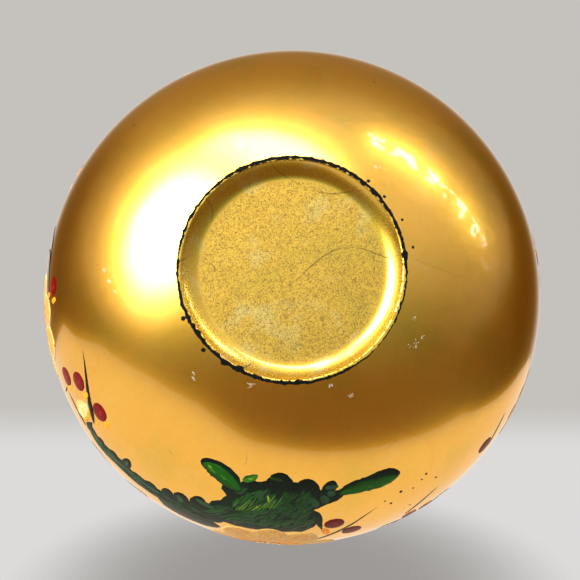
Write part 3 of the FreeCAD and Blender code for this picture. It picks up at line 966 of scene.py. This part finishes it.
SPRAY_STEMS = [
    ([(27.2, 28.5), (22.5, 30.2), (18.0, 33.2), (14.5, 36.6), (11.6, 39.8), (9.2, 43.6)], 3.8),
    ([(20.0, 51.5), (15.0, 52.3), (10.5, 53.0)], 1.8),
    ([(19.8, 58.5), (19.9, 55.0), (20.2, 51.5)], 1.4),
    ([(38.8, 48.2), (42.0, 49.3), (46.0, 50.2), (50.5, 52.0), (53.0, 56.0), (54.0, 63.0)], 2.0),
    ([(46.0, 50.2), (50.0, 50.6), (55.0, 53.0), (59.5, 60.0)], 1.4),
]
SPRAY_OLIVE_STEMS = [
    ([(-66.6, 38.4), (-62.0, 42.6), (-58.0, 47.6), (-53.0, 54.5), (-49.5, 60.0)], 2.2),
    ([(-81.0, 48.8), (-76.0, 53.0), (-71.0, 59.0)], 2.0),
    ([(-104.5, 50.5), (-100.0, 53.5), (-95.5, 58.5)], 2.0),
]

BUD = [(13.9, 52.0), (14.0, 46.0), (13.8, 40.0)]
BUD_WIDTH = 9.6
BUD_SIDE = [(11.6, 50.5), (11.4, 45.0), (12.4, 40.6)]
BUD_SIDE_WIDTH = 2.8

# Bearing and height of each flower's middle, its radius, and its turn in shares of a petal.
FLOWERS = [
    (-40.0, 73.0, 31.5, 0.0),
    (36.5, 76.0, 30.0, 0.35),
    (108.0, 83.0, 21.0, 0.2),
    (180.0, 83.0, 21.0, 0.7),
    (252.0, 83.0, 21.0, 0.5),
]
PETALS = 9
PETAL_WIDTH = 0.64
PETAL_ROOT = 0.26
EYE_SIZE = 0.50

EYE_DOTS = 13
EYE_RING = 0.19           # radius of the ring of dots and size of a dot, as shares of the flower's
EYE_DOT = 0.055
HEART_LINES = (-0.09, 0.0, 0.09)
LIP_CLEARANCE = 1.0

# Bristle marks: how many, and between which bearings and heights on the leaf mass.
LOOSE_MARKS = 190
LOOSE_HEIGHTS = (26.0, 43.0)
LOOSE_RIGHT_EDGE = -49.5
LOOSE_LEFT_EDGES = (-30.5, -26.0)    # below and above the height where the mass narrows
LOOSE_TURN_HEIGHT = 36.0
ARM_MARKS = 60
ARM_BEARINGS = (-22.0, 7.0)
FAN_MARKS = 14

GAP_HEIGHT = 82.0
GAP_BERRY_SIZE = 8.4
TICK_ASIDE = 2.2          # small side strokes on the curled stems
TICK_UP = 3.0
BERRY_SHADE = one_sided(BERRY_RED, mixed(BERRY_RED, BERRY_LIGHT, 0.5))

leaves = Brushwork(11)
lights = Brushwork(12)
petals = Brushwork(13)
eyes = Brushwork(14)
berries = Brushwork(15)
touches = Brushwork(16)
stems = Brushwork(17)
marks = Brushwork(18)
scuffs_and_glints = Brushwork(19)


def tip_options(pointed):
    if pointed:
        return {"tip": 0.55, "tip_end": POINTED_END}
    return {"tip": 0.30, "tip_end": BLUNT_END}


def paint_spray_leaves():
    """The dark mass, its leaf ends with black rims towards the foot, then the lighter strokes."""
    chance = random.Random(21)
    for path, width in SPRAY_MASS:
        leaves.stroke(path, width, two_tone(DEEP_GREEN, mixed(DEEP_GREEN, BLACK_GREEN, 0.5)),
                      thick=0.14, **BROAD)
    for path, width, pointed in SPRAY_LEAVES:
        leaves.stroke(path, width, two_tone(DEEP_GREEN, BLACK_GREEN), thick=0.20,
                      bed=chance.uniform(0.0, 0.04), **LEAF, **tip_options(pointed))
    leaves.stroke(LONG_LEAF, LONG_LEAF_WIDTH, two_tone(DEEP_GREEN, BLACK_GREEN), thick=0.20,
                  rows=26, columns=9, root=0.65, root_end=0.35, tip=0.16)
    for path, width, tone in SPRAY_LIGHTS:
        lights.stroke(path, width, one_sided(tone, DEEP_GREEN), thick=0.10, bed=0.20,
                      ragged=0.10, root=0.3, tip=0.3, columns=9)


def paint_bristle_marks():
    """Short loose touches all over the leaf mass, all leaning one way."""
    chance = random.Random(22)
    for _ in range(LOOSE_MARKS):
        height = chance.uniform(*LOOSE_HEIGHTS)
        left_edge = LOOSE_LEFT_EDGES[0 if height < LOOSE_TURN_HEIGHT else 1]
        bearing = chance.uniform(LOOSE_RIGHT_EDGE, left_edge)
        lean = chance.uniform(-4.5, -0.6)
        length = chance.uniform(1.6, 5.0)
        path = [
            (bearing - 0.5 * lean, height + 0.5 * length),
            (bearing + 0.5 * lean, height - 0.5 * length),
        ]
        tone = mixed(GREY_GREEN, LEAF_GREEN, chance.random())
        tone = mixed(DEEP_GREEN, tone, chance.uniform(0.1, 0.8))
        lights.stroke(path, chance.uniform(1.2, 4.2), even(tone), root=0.4, tip=0.5, **BRISTLE)
    for _ in range(ARM_MARKS):
        bearing = chance.uniform(*ARM_BEARINGS)
        height = 50.0 + 0.16 * bearing + chance.uniform(-3.0, 3.4)
        turn = chance.uniform(1.5, 4.5)
        tone = mixed(DEEP_GREEN, GREY_GREEN, chance.uniform(0.2, 1.0))
        lights.stroke([(bearing - turn, height), (bearing, height + chance.uniform(-0.8, 0.8))],
                      chance.uniform(0.7, 1.8), even(tone), **BRISTLE)
    for index in range(FAN_MARKS):
        start = (-30.4 - 0.75 * index, 35.5 - 0.25 * index + chance.uniform(-1.0, 1.0))
        end = (start[0] - chance.uniform(1.8, 3.2), start[1] - chance.uniform(4.5, 8.0))
        tone = mixed(LEAF_GREEN, YELLOW_GREEN, chance.uniform(0.1, 0.55))
        lights.stroke([start, end], chance.uniform(0.7, 1.5), even(tone), thick=0.05, bed=0.25,
                      ragged=0.2, rows=10, columns=5, tip_end=POINTED_END, tip=0.7)


def paint_berry(bearing, height, size=BERRY_SIZE):
    berries.dot(bearing, height, size, BERRY_SHADE, thick=0.30, ragged=0.03)
    start = beside(bearing, height, -0.16 * size, -0.05 * size)
    end = beside(bearing, height, 0.05 * size, 0.18 * size)
    berries.stroke([start, end], 0.16 * size, even(BERRY_LIGHT), thick=0.06, bed=0.26,
                   rows=7, columns=5)


def paint_flower(bearing, height, radius, turned):
    """Overlapping cream petals with pale rims and orange hearts, round a dotted eye.

    Petals that would run over the lip band are shortened to stay under it.
    """
    highest = WALL.length_at(WALL.angle_at(LIP_BAND_FROM - LIP_CLEARANCE))
    room_above = highest - WALL.length_at(WALL.angle_at(height))
    for index in range(PETALS):
        turn = 2.0 * math.pi * (index + turned) / PETALS
        across, down = math.sin(turn), math.cos(turn)
        reach = radius * (1.0 + 0.04 * math.sin(5.0 * turn + bearing))
        if -down * reach > room_above:
            reach = room_above / -down

        def spot(share, aside=0.0, reach=reach, across=across, down=down):
            return beside(
                bearing,
                height,
                reach * share * across + aside * down,
                reach * share * down - aside * across,
            )

        body = mixed(CREAM, OCHRE, 0.06 + 0.10 * (index % 3))
        petals.stroke([spot(PETAL_ROOT), spot(0.65), spot(1.0)], PETAL_WIDTH * radius,
                      edged(body, CREAM_LIGHT, 0.78), thick=0.18, bed=0.19 + 0.05 * (index % 2),
                      root=0.75, tip=0.36, ragged=0.02, rows=24, columns=13)
        for aside in HEART_LINES:
            petals.stroke(
                [spot(PETAL_ROOT, aside * radius), spot(0.72 - abs(aside), 1.6 * aside * radius)],
                0.055 * radius, even(mixed(OCHRE, ORANGE, 0.5)), thick=0.07, bed=0.40,
                tip=0.8, tip_end=POINTED_END, ragged=0.12, **SHORT,
            )
    eyes.dot(bearing, height, EYE_SIZE * radius, edged(OCHRE, BROWN, 0.7), thick=0.30, bed=0.22)
    ring = EYE_RING * radius
    for index in range(EYE_DOTS):
        turn = 2.0 * math.pi * index / EYE_DOTS
        dot = beside(bearing, height, ring * math.cos(turn), ring * math.sin(turn))
        eyes.dot(*dot, EYE_DOT * radius, even(CREAM_LIGHT), thick=0.12, bed=0.48)


def paint_leaf(root, tip, width, tone):
    """A leaf with a light rib and side touches."""
    middle = ((root[0] + tip[0]) / 2.0 + 0.6, (root[1] + tip[1]) / 2.0)
    leaves.stroke([root, middle, tip], width, edged(tone, BLACK_GREEN, 0.55), thick=0.24,
                  root=0.35, tip=0.65, tip_end=POINTED_END, rows=20, columns=9)
    rib_end = ((root[0] + 5.0 * tip[0]) / 6.0, (root[1] + 5.0 * tip[1]) / 6.0)
    lights.stroke([root, middle, rib_end], 0.13 * width, even(YELLOW_GREEN), thick=0.08, bed=0.20,
                  rows=12, columns=5, tip=0.8, tip_end=POINTED_END, ragged=0.1)


GAP_LEAVES = [
    (-2.0, -2.0, -15.0, 9.0, 8.0),
    (2.0, -2.0, 15.0, 9.0, 8.0),
    (-2.0, 2.0, -16.0, -11.0, 8.5),
    (2.0, 2.0, 16.0, -11.0, 8.5),
    (0.0, 2.0, 1.0, -17.0, 8.0),
]
GAP_BERRIES = [(-9.0, -15.0), (-2.0, -19.0), (6.0, -14.5), (-5.0, 15.0), (4.0, 17.5)]
GAP_STEMS = [
    [(0.0, 0.0), (-7.0, 12.0), (-16.0, 17.0), (-21.0, 12.0)],
    [(0.0, 0.0), (8.0, 12.0), (17.0, 16.0), (22.0, 10.0)],
    [(0.0, 0.0), (-10.0, -14.0), (-20.0, -15.0)],
    [(0.0, 0.0), (10.0, -14.0), (20.0, -15.0)],
]


def paint_gap(bearing, height, full):
    """Leaves, berries and curled stems between two flowers; full also hangs some below."""
    def spot(sideways, downward):
        return beside(bearing, height, sideways, downward)

    for stem in GAP_STEMS:
        path = [spot(*point) for point in stem]
        stems.stroke(path, 1.6, even(BROWN), thick=0.14, tip=0.5,
                     tip_end=POINTED_END, **LONG_THIN)
        for start in stem[1:-1]:
            for side in (-TICK_ASIDE, TICK_ASIDE):
                tick = (start[0] + side, start[1] - TICK_UP)
                stems.stroke([spot(*start), spot(*tick)], 1.1, even(BROWN), thick=0.12,
                             tip=0.7, tip_end=POINTED_END, **SHORTER)
    for index, (x0, y0, x1, y1, width) in enumerate(GAP_LEAVES):
        if not full and y1 > 0.0:
            continue
        tone = mixed(DEEP_GREEN, LEAF_GREEN, 0.35 + 0.15 * (index % 3))
        paint_leaf(spot(x0, y0), spot(x1, y1), width, tone)
    for sideways, downward in GAP_BERRIES:
        if not full and downward > 0.0:
            continue
        place = spot(sideways, downward)
        touches.stroke([spot(sideways - 4.0, downward + 3.0), spot(sideways + 1.0, downward + 5.4)],
                       2.2, even(ORANGE), thick=0.14, **SHORT)
        paint_berry(*place, size=GAP_BERRY_SIZE)


# Spatter of dark paint: bearing, height, size.
SPATTER = [
    (-79.4, 35.5, 1.3), (-77.8, 36.8, 0.9), (-75.0, 38.5, 1.0), (-72.0, 36.7, 1.6),
    (-67.6, 37.8, 0.9), (-68.8, 40.8, 1.3), (-81.0, 41.2, 1.2), (-72.8, 50.0, 1.0),
    (89.5, 33.4, 0.9), (215.0, 1.2, 1.3), (201.0, 0.9, 1.2), (20.0, 0.5, 2.0), (2.0, 0.6, 1.9),
    (176.0, 0.4, 1.5), (187.0, 0.5, 1.4), (152.0, 37.0, 0.8), (157.5, 29.4, 0.7),
]
SPATTER_SPREAD = 1.3
SCRATCHES = [
    [(156.6, 34.2), (157.6, 30.0), (158.6, 28.6)],
    [(170.0, 24.8), (173.0, 25.4), (175.0, 26.0)],
    [(176.6, 27.0), (179.6, 28.8)],
    [(148.4, 41.6), (149.4, 40.0)],
    [(-31.0, 14.0), (-31.4, 16.8), (-30.6, 18.2)],
    [(-73.0, 18.6), (-78.0, 17.2)],
    [(-11.8, 25.0), (-9.6, 23.6)],
]
SCRATCH_WIDTH = 0.34


def paint_small_marks():
    """Spatter and hairline scratches that use has left on the gold."""
    for bearing, height, size in SPATTER:
        marks.dot(bearing, height, SPATTER_SPREAD * size, even(BLACK_GREEN), stretch=0.8,
                  thick=0.06, ragged=0.2)
    for path in SCRATCHES:
        marks.stroke(path, SCRATCH_WIDTH, even(mixed(BROWN, BLACK_GREEN, 0.3)), thick=0.03,
                     ragged=0.5, tip=0.6, **HAIRLINE)


# Chalky scuffs left by use, and in the first three marks painted glints (painted highlights): bearing,
# height, size.
SCRATCHES_PER_MARK = 9
SCUFFS_AND_GLINTS = [
    (174.3, 3.3, 3.0), (181.0, 9.4, 4.0), (165.1, 8.9, 3.0), (-26.2, 1.0, 3.2), (-70.3, 3.6, 2.4),
    (-63.7, 1.0, 1.8), (-113.6, 2.5, 1.6), (-103.9, 4.5, 3.4), (-108.0, 5.2, 1.6), (-3.1, 4.6, 2.4),
    (46.0, 16.2, 1.8), (42.0, 14.2, 2.4), (38.7, 12.9, 1.6),
]


def paint_scuffs_and_glints():
    """The first three marks are painted glints, the rest chalky scuffs; each is a loose bunch of short
    pale scratches.
    """
    chance = random.Random(23)
    for bearing, height, size in SCUFFS_AND_GLINTS:
        for _ in range(SCRATCHES_PER_MARK):
            loose = 0.3 * size
            start = beside(bearing, height, chance.gauss(0.0, loose), chance.gauss(0.0, loose))
            end = beside(*start, chance.uniform(0.2, 0.7) * size, chance.uniform(-0.4, 0.2) * size)
            # Pale strokes: chalky scuffs, and painted highlights for the first three marks.
            scuffs_and_glints.stroke([start, end], chance.uniform(0.2, 0.7), even(SCUFF_AND_GLINT_PALE), thick=0.02,
                          ragged=0.4, rows=8, columns=3)


def paint_spray_stems():
    for path, width in SPRAY_STEMS:
        stems.stroke(path, width, even(BLACK_GREEN), thick=0.20, rows=30, columns=5, **TAPERED)
    for path, width in SPRAY_OLIVE_STEMS:
        stems.stroke(path, width, even(OLIVE), thick=0.16, root=0.6, root_end=POINTED_END,
                     tip=0.2, **LONG_THIN)


def paint_bud():
    """The cream bud among the berries, with its orange side."""
    petals.stroke(BUD, BUD_WIDTH, one_sided(CREAM_LIGHT, CREAM), thick=0.24, root=0.3, tip=0.35,
                  rows=18, columns=9)
    petals.stroke(BUD_SIDE, BUD_SIDE_WIDTH, even(ORANGE), thick=0.10, bed=0.18, rows=12, columns=5)


def paint_garland():
    """The flowers, and between each two the leaves, berries and stems that fill the gap."""
    for flower in FLOWERS:
        paint_flower(*flower)
    for index, flower in enumerate(FLOWERS):
        following = FLOWERS[(index + 1) % len(FLOWERS)]
        gap_turn = (following[0] - flower[0]) % 360.0
        paint_gap(flower[0] + gap_turn / 2.0, GAP_HEIGHT, index > 0)


paint_spray_leaves()
paint_bristle_marks()
paint_scuffs_and_glints()
for place in SPRAY_BERRIES:
    paint_berry(*place)
for start, end, width in SPRAY_TOUCHES:
    touches.stroke([start, end], width, even(ORANGE), thick=0.16, bed=0.05, **SHORT)
paint_spray_stems()
paint_bud()
paint_garland()
paint_small_marks()

leaves.piece("leaves", "green_paint", ["garland_leaves"])
lights.piece("leaf_lights", "light_green_paint", ["leaf_highlights"])
petals.piece("petals", "cream_paint", ["flower_petals"])
eyes.piece("flower_eye_dots", "ochre_paint", ["flower_eyes"])
berries.piece("berry_dabs", "red_paint", ["berries"])
touches.piece("orange_touches", "orange_paint", ["berry_crescents"])
stems.piece("stem_strokes", "black_paint", ["stems"])
marks.piece("spatter_marks", "black_paint", [])
# One piece holds the chalky scuffs and the painted glints.
scuffs_and_glints.piece("scuff_and_glint_marks", "cream_paint", [])


# ---- Camera ------------------------------------------------------------------------------------

CAMERA_PLACE = Vector((0.03387, -0.03528, -0.32538))
CAMERA_FORWARD = Vector((-0.08218, 0.08965, 0.99258)).normalized()
PICTURE_DOWN_BEARING = math.radians(-45.0)
SENSOR_WIDTH = 36.0
LENS = 49.655

picture_down = Vector((math.cos(PICTURE_DOWN_BEARING), math.sin(PICTURE_DOWN_BEARING), 0.0))
camera_right = picture_down.cross(CAMERA_FORWARD).normalized()
camera_up = camera_right.cross(CAMERA_FORWARD)
camera_data = bpy.data.cameras.new("camera")
camera_data.sensor_width = SENSOR_WIDTH
camera_data.lens = LENS
camera_data.clip_start = 0.01
camera = bpy.data.objects.new("camera", camera_data)
turned = Matrix((camera_right, camera_up, -CAMERA_FORWARD)).transposed().to_4x4()
camera.matrix_world = Matrix.Translation(CAMERA_PLACE) @ turned
bpy.context.scene.collection.objects.link(camera)
bpy.context.scene.camera = camera
bpy.context.scene.view_settings.view_transform = "Standard"


# ---- Stage -------------------------------------------------------------------------------------

# The bowl lies back on its lip: these are the show's own right, up and towards the viewer.
LEAN_BACK = math.radians(20.3)
AXIS = Vector((0.0, 0.0, 1.0))
SHOW_RIGHT = Vector((-1.0, -1.0, 0.0)).normalized()
SHOW_UP = (
    Vector((-1.0, 1.0, 0.0)).normalized() * math.cos(LEAN_BACK)
    - AXIS * math.sin(LEAN_BACK)
)
SHOW_TOWARD = SHOW_RIGHT.cross(SHOW_UP)
SHOW_FLOOR = -0.1525      # how far under the bowl's own origin the show's floor lies


def show_point(right, up, toward):
    """A place given by the show's own directions, in metres."""
    return SHOW_RIGHT * right + SHOW_UP * up + SHOW_TOWARD * toward


def stage_card(name, corners, material):
    mesh = bpy.data.meshes.new(name)
    mesh.from_pydata(corners, [], [tuple(range(len(corners)))])
    mesh.materials.append(material)
    card = bpy.data.objects.new(name, mesh)
    bpy.context.scene.collection.objects.link(card)
    return card


class Studio(NodeTree):
    """The surrounding light, as a function of direction in the show's own axes."""

    def __init__(self):
        world = bpy.data.worlds.new("studio")
        bpy.context.scene.world = world
        super().__init__(world)
        self.direction = self.add("ShaderNodeTexCoord").outputs["Generated"]
        self.right = self.part(SHOW_RIGHT)
        self.up = self.part(SHOW_UP)
        self.toward = self.part(SHOW_TOWARD)

    def part(self, axis):
        """How much of the direction lies along an axis."""
        node = self.add("ShaderNodeVectorMath", operation="DOT_PRODUCT")
        self.feed(self.direction, node.inputs[0])
        node.inputs[1].default_value = axis
        return node.outputs["Value"]

    def sum(self, operation, first, second=0.0):
        node = self.add("ShaderNodeMath", operation=operation)
        self.feed(first, node.inputs[0])
        self.feed(second, node.inputs[1])
        return node.outputs[0]

    def oval(self, across, half_width, along, half_height):
        """1 on the rim of an oval and less inside it, growing as the square of the distance."""
        across = self.sum("POWER", self.sum("DIVIDE", across, half_width), 2.0)
        along = self.sum("POWER", self.sum("DIVIDE", along, half_height), 2.0)
        return self.sum("ADD", across, along)

    def step(self, value, start, end):
        """0 up to start and 1 past end, smooth between; start may be the larger."""
        node = self.add("ShaderNodeMapRange", interpolation_type="SMOOTHSTEP")
        low, high = (0.0, 1.0) if start < end else (1.0, 0.0)
        node.inputs["From Min"].default_value = min(start, end)
        node.inputs["From Max"].default_value = max(start, end)
        node.inputs["To Min"].default_value = low
        node.inputs["To Max"].default_value = high
        self.feed(value, node.inputs["Value"])
        return node.outputs["Result"]

    def patch(self, azimuth, elevation, half_width, half_height, softness):
        """1 inside an oval part of the room and 0 outside; azimuth 90 is the show's right."""
        turn, rise = math.radians(azimuth), math.radians(elevation)
        middle = show_point(
            math.sin(turn) * math.cos(rise), math.sin(rise), math.cos(turn) * math.cos(rise)
        )
        sideways = show_point(math.cos(turn), 0.0, -math.sin(turn))
        upward = middle.cross(sideways)
        squares = self.oval(
            self.part(sideways), math.sin(math.radians(half_width)),
            self.part(upward), math.sin(math.radians(half_height)),
        )
        oval = self.step(squares, (1.0 + softness) ** 2, (1.0 - softness) ** 2)
        facing = self.step(self.part(middle), 0.0, 0.15)
        return self.sum("MULTIPLY", oval, facing)

    def finish(self, seen, felt):
        """What the camera sees behind everything, and what lights the bowl."""
        rays = self.add("ShaderNodeLightPath")
        background = self.add("ShaderNodeBackground")
        output = self.add("ShaderNodeOutputWorld")
        self.feed(self.mix(rays.outputs["Is Camera Ray"], felt, seen), background.inputs["Color"])
        self.feed(background.outputs["Background"], output.inputs["Surface"])


ROOM = (0.30, 0.35, 0.22)
# Parts of the room: azimuth, elevation, half width, half height, softness, brightness of light.
ROOM_PARTS = [
    (180.0, 20.0, 80.0, 55.0, 0.30, (0.31, 0.21, 0.10)),      # warm wall behind
    (-105.0, 6.0, 34.0, 26.0, 0.50, (0.13, 0.060, 0.015)),    # shade at the left
    (100.0, 4.0, 40.0, 34.0, 0.50, (0.13, 0.065, 0.010)),     # shade at the right
    (8.0, -34.0, 60.0, 26.0, 0.45, (0.22, 0.13, 0.06)),       # shade in front, under the table
    (5.0, 62.0, 60.0, 34.0, 0.45, (0.85, 0.80, 0.74)),        # ceiling
    (-16.0, 39.0, 22.0, 18.0, 0.60, (1.20, 1.15, 0.95)),      # soft glow behind the camera
    (-24.0, 74.0, 19.0, 7.5, 0.60, (10.0, 9.20, 10.5)),       # the ceiling's brightest strip
    (-58.0, 38.0, 17.0, 27.0, 0.45, (4.40, 4.00, 4.20)),      # tall window, front left
    (-59.0, 34.0, 13.5, 17.0, 0.55, (18.0, 17.4, 18.0)),      # its open pane
]
UPRIGHT_LIGHT = (0.8, 0.76, 0.70)
BACKDROP = (0.66, 0.645, 0.62)
SHOW_WALL = (0.56, 0.54, 0.51)
SHOW_TABLE = (0.72, 0.71, 0.70)
SHOW_SHADE = (0.34, 0.325, 0.31)


# A narrow strip of windows high at the right, seen as broken glints in the gold.
GLINT_LIGHT = (14.0, 13.8, 13.2)
GLINT_FORWARD = 0.02
GLINT_SCALE = 15.0

# Where the shown table turns into the wall, and the shade on it, in metres in the show's directions.
TABLE_END = (-0.24, -0.15)
SHADE_FORWARD = -0.01
SHADE_HALF_WIDTH = 0.115
SHADE_HALF_DEPTH = 0.085
LOWEST_GLANCE = 0.02      # keeps the reach of a level glance over the table finite

# Shade under the upright bowl: distance from its axis, and colour.
UPRIGHT_SHADE = [(0.04, SHOW_SHADE), (0.24, BACKDROP)]


def room_light(studio):
    """What lights the bowl: the room, its windows, and soft light from above the upright bowl."""
    felt = ROOM
    for azimuth, elevation, width, height, softness, light in ROOM_PARTS:
        felt = studio.mix(studio.patch(azimuth, elevation, width, height, softness), felt, light)

    beside_strip = studio.sum("ABSOLUTE", studio.sum("SUBTRACT", studio.toward, GLINT_FORWARD))
    strip = studio.step(beside_strip, 0.060, 0.030)
    breaks = studio.add("ShaderNodeTexNoise")
    breaks.inputs["Scale"].default_value = GLINT_SCALE
    breaks.inputs["Detail"].default_value = 4.0
    studio.feed(studio.direction, breaks.inputs["Vector"])
    for limit in (
        studio.step(breaks.outputs["Fac"], 0.50, 0.56),
        studio.step(studio.right, 0.36, 0.44),
        studio.step(studio.up, 0.18, 0.26),
    ):
        strip = studio.sum("MULTIPLY", strip, limit)
    felt = studio.mix(strip, felt, GLINT_LIGHT)
    return studio.mix(studio.step(studio.part(AXIS), 0.68, 0.95), felt, UPRIGHT_LIGHT)


def painted_surroundings(studio):
    """What the camera sees behind the shown bowl: a pale table, its soft shade and a pale wall."""
    drop = studio.sum("MAXIMUM", studio.sum("MULTIPLY", studio.up, -1.0), LOWEST_GLANCE)
    camera_height = CAMERA_PLACE.dot(SHOW_UP) - SHOW_FLOOR

    def on_table(part, axis):
        """How far along an axis the glance meets the table."""
        reach = studio.sum("MULTIPLY", studio.sum("DIVIDE", part, drop), camera_height)
        return studio.sum("ADD", reach, CAMERA_PLACE.dot(axis))

    reach = on_table(studio.toward, SHOW_TOWARD)
    aside = on_table(studio.right, SHOW_RIGHT)
    seen = studio.mix(studio.step(reach, *TABLE_END), SHOW_WALL, SHOW_TABLE)
    squares = studio.oval(
        aside, SHADE_HALF_WIDTH, studio.sum("SUBTRACT", reach, SHADE_FORWARD), SHADE_HALF_DEPTH
    )
    seen = studio.mix(studio.step(squares, 1.5, 0.1), seen, SHOW_SHADE)
    return studio.mix(studio.step(studio.part(AXIS), 0.45, 0.65), BACKDROP, seen)


def light_the_room():
    studio = Studio()
    studio.finish(painted_surroundings(studio), room_light(studio))


def one_sided_floor():
    """Plain pale floor with a soft shade under the bowl, which only shows its upper face."""
    material = bpy.data.materials.new("pale_floor")
    nodes = NodeTree(material)
    reach = nodes.add("ShaderNodeVectorMath", operation="LENGTH")
    nodes.feed(nodes.add("ShaderNodeTexCoord").outputs["Object"], reach.inputs[0])
    pale = nodes.add("ShaderNodeEmission")
    nodes.feed(nodes.ramp(reach.outputs["Value"], UPRIGHT_SHADE, "EASE"), pale.inputs["Color"])
    choice = nodes.add("ShaderNodeMixShader")
    nodes.feed(nodes.add("ShaderNodeNewGeometry").outputs["Backfacing"], choice.inputs["Fac"])
    nodes.feed(pale.outputs["Emission"], choice.inputs[1])
    nodes.feed(nodes.add("ShaderNodeBsdfTransparent").outputs["BSDF"], choice.inputs[2])
    nodes.surface(choice.outputs["Shader"])
    return material


def glowing_card(name, light):
    material = bpy.data.materials.new(name)
    nodes = NodeTree(material)
    glow = nodes.add("ShaderNodeEmission")
    nodes.feed(light, glow.inputs["Color"])
    nodes.surface(glow.outputs["Emission"])
    return material


FLOOR_SIZE = 8.0
FLOOR_GAP = 0.0003
FLOOR_CORNERS = [
    Vector((FLOOR_SIZE * x, FLOOR_SIZE * y, -FLOOR_GAP))
    for x, y in ((-1.0, -1.0), (1.0, -1.0), (1.0, 1.0), (-1.0, 1.0))
]
floor_upright = stage_card("floor_upright", FLOOR_CORNERS, one_sided_floor())
floor_upright.visible_glossy = False
floor_upright.visible_diffuse = False
floor_upright.visible_shadow = False

# The pale table top that the shown bowl reflects: its front edge, then its far corners.
TABLE_EDGE = [
    (-0.75, 0.10), (-0.50, 0.17), (-0.35, 0.20), (-0.17, 0.18), (-0.05, 0.11), (0.12, 0.07),
    (0.22, 0.03), (0.30, -0.17), (0.30, -0.26), (-0.75, -0.26),
]
table_card = stage_card(
    "table_card",
    [show_point(right, SHOW_FLOOR, toward) for right, toward in TABLE_EDGE],
    glowing_card("table_glow", (0.98, 0.86, 0.68)),
)
table_card.visible_camera = False
table_card.visible_shadow = False

light_the_room()
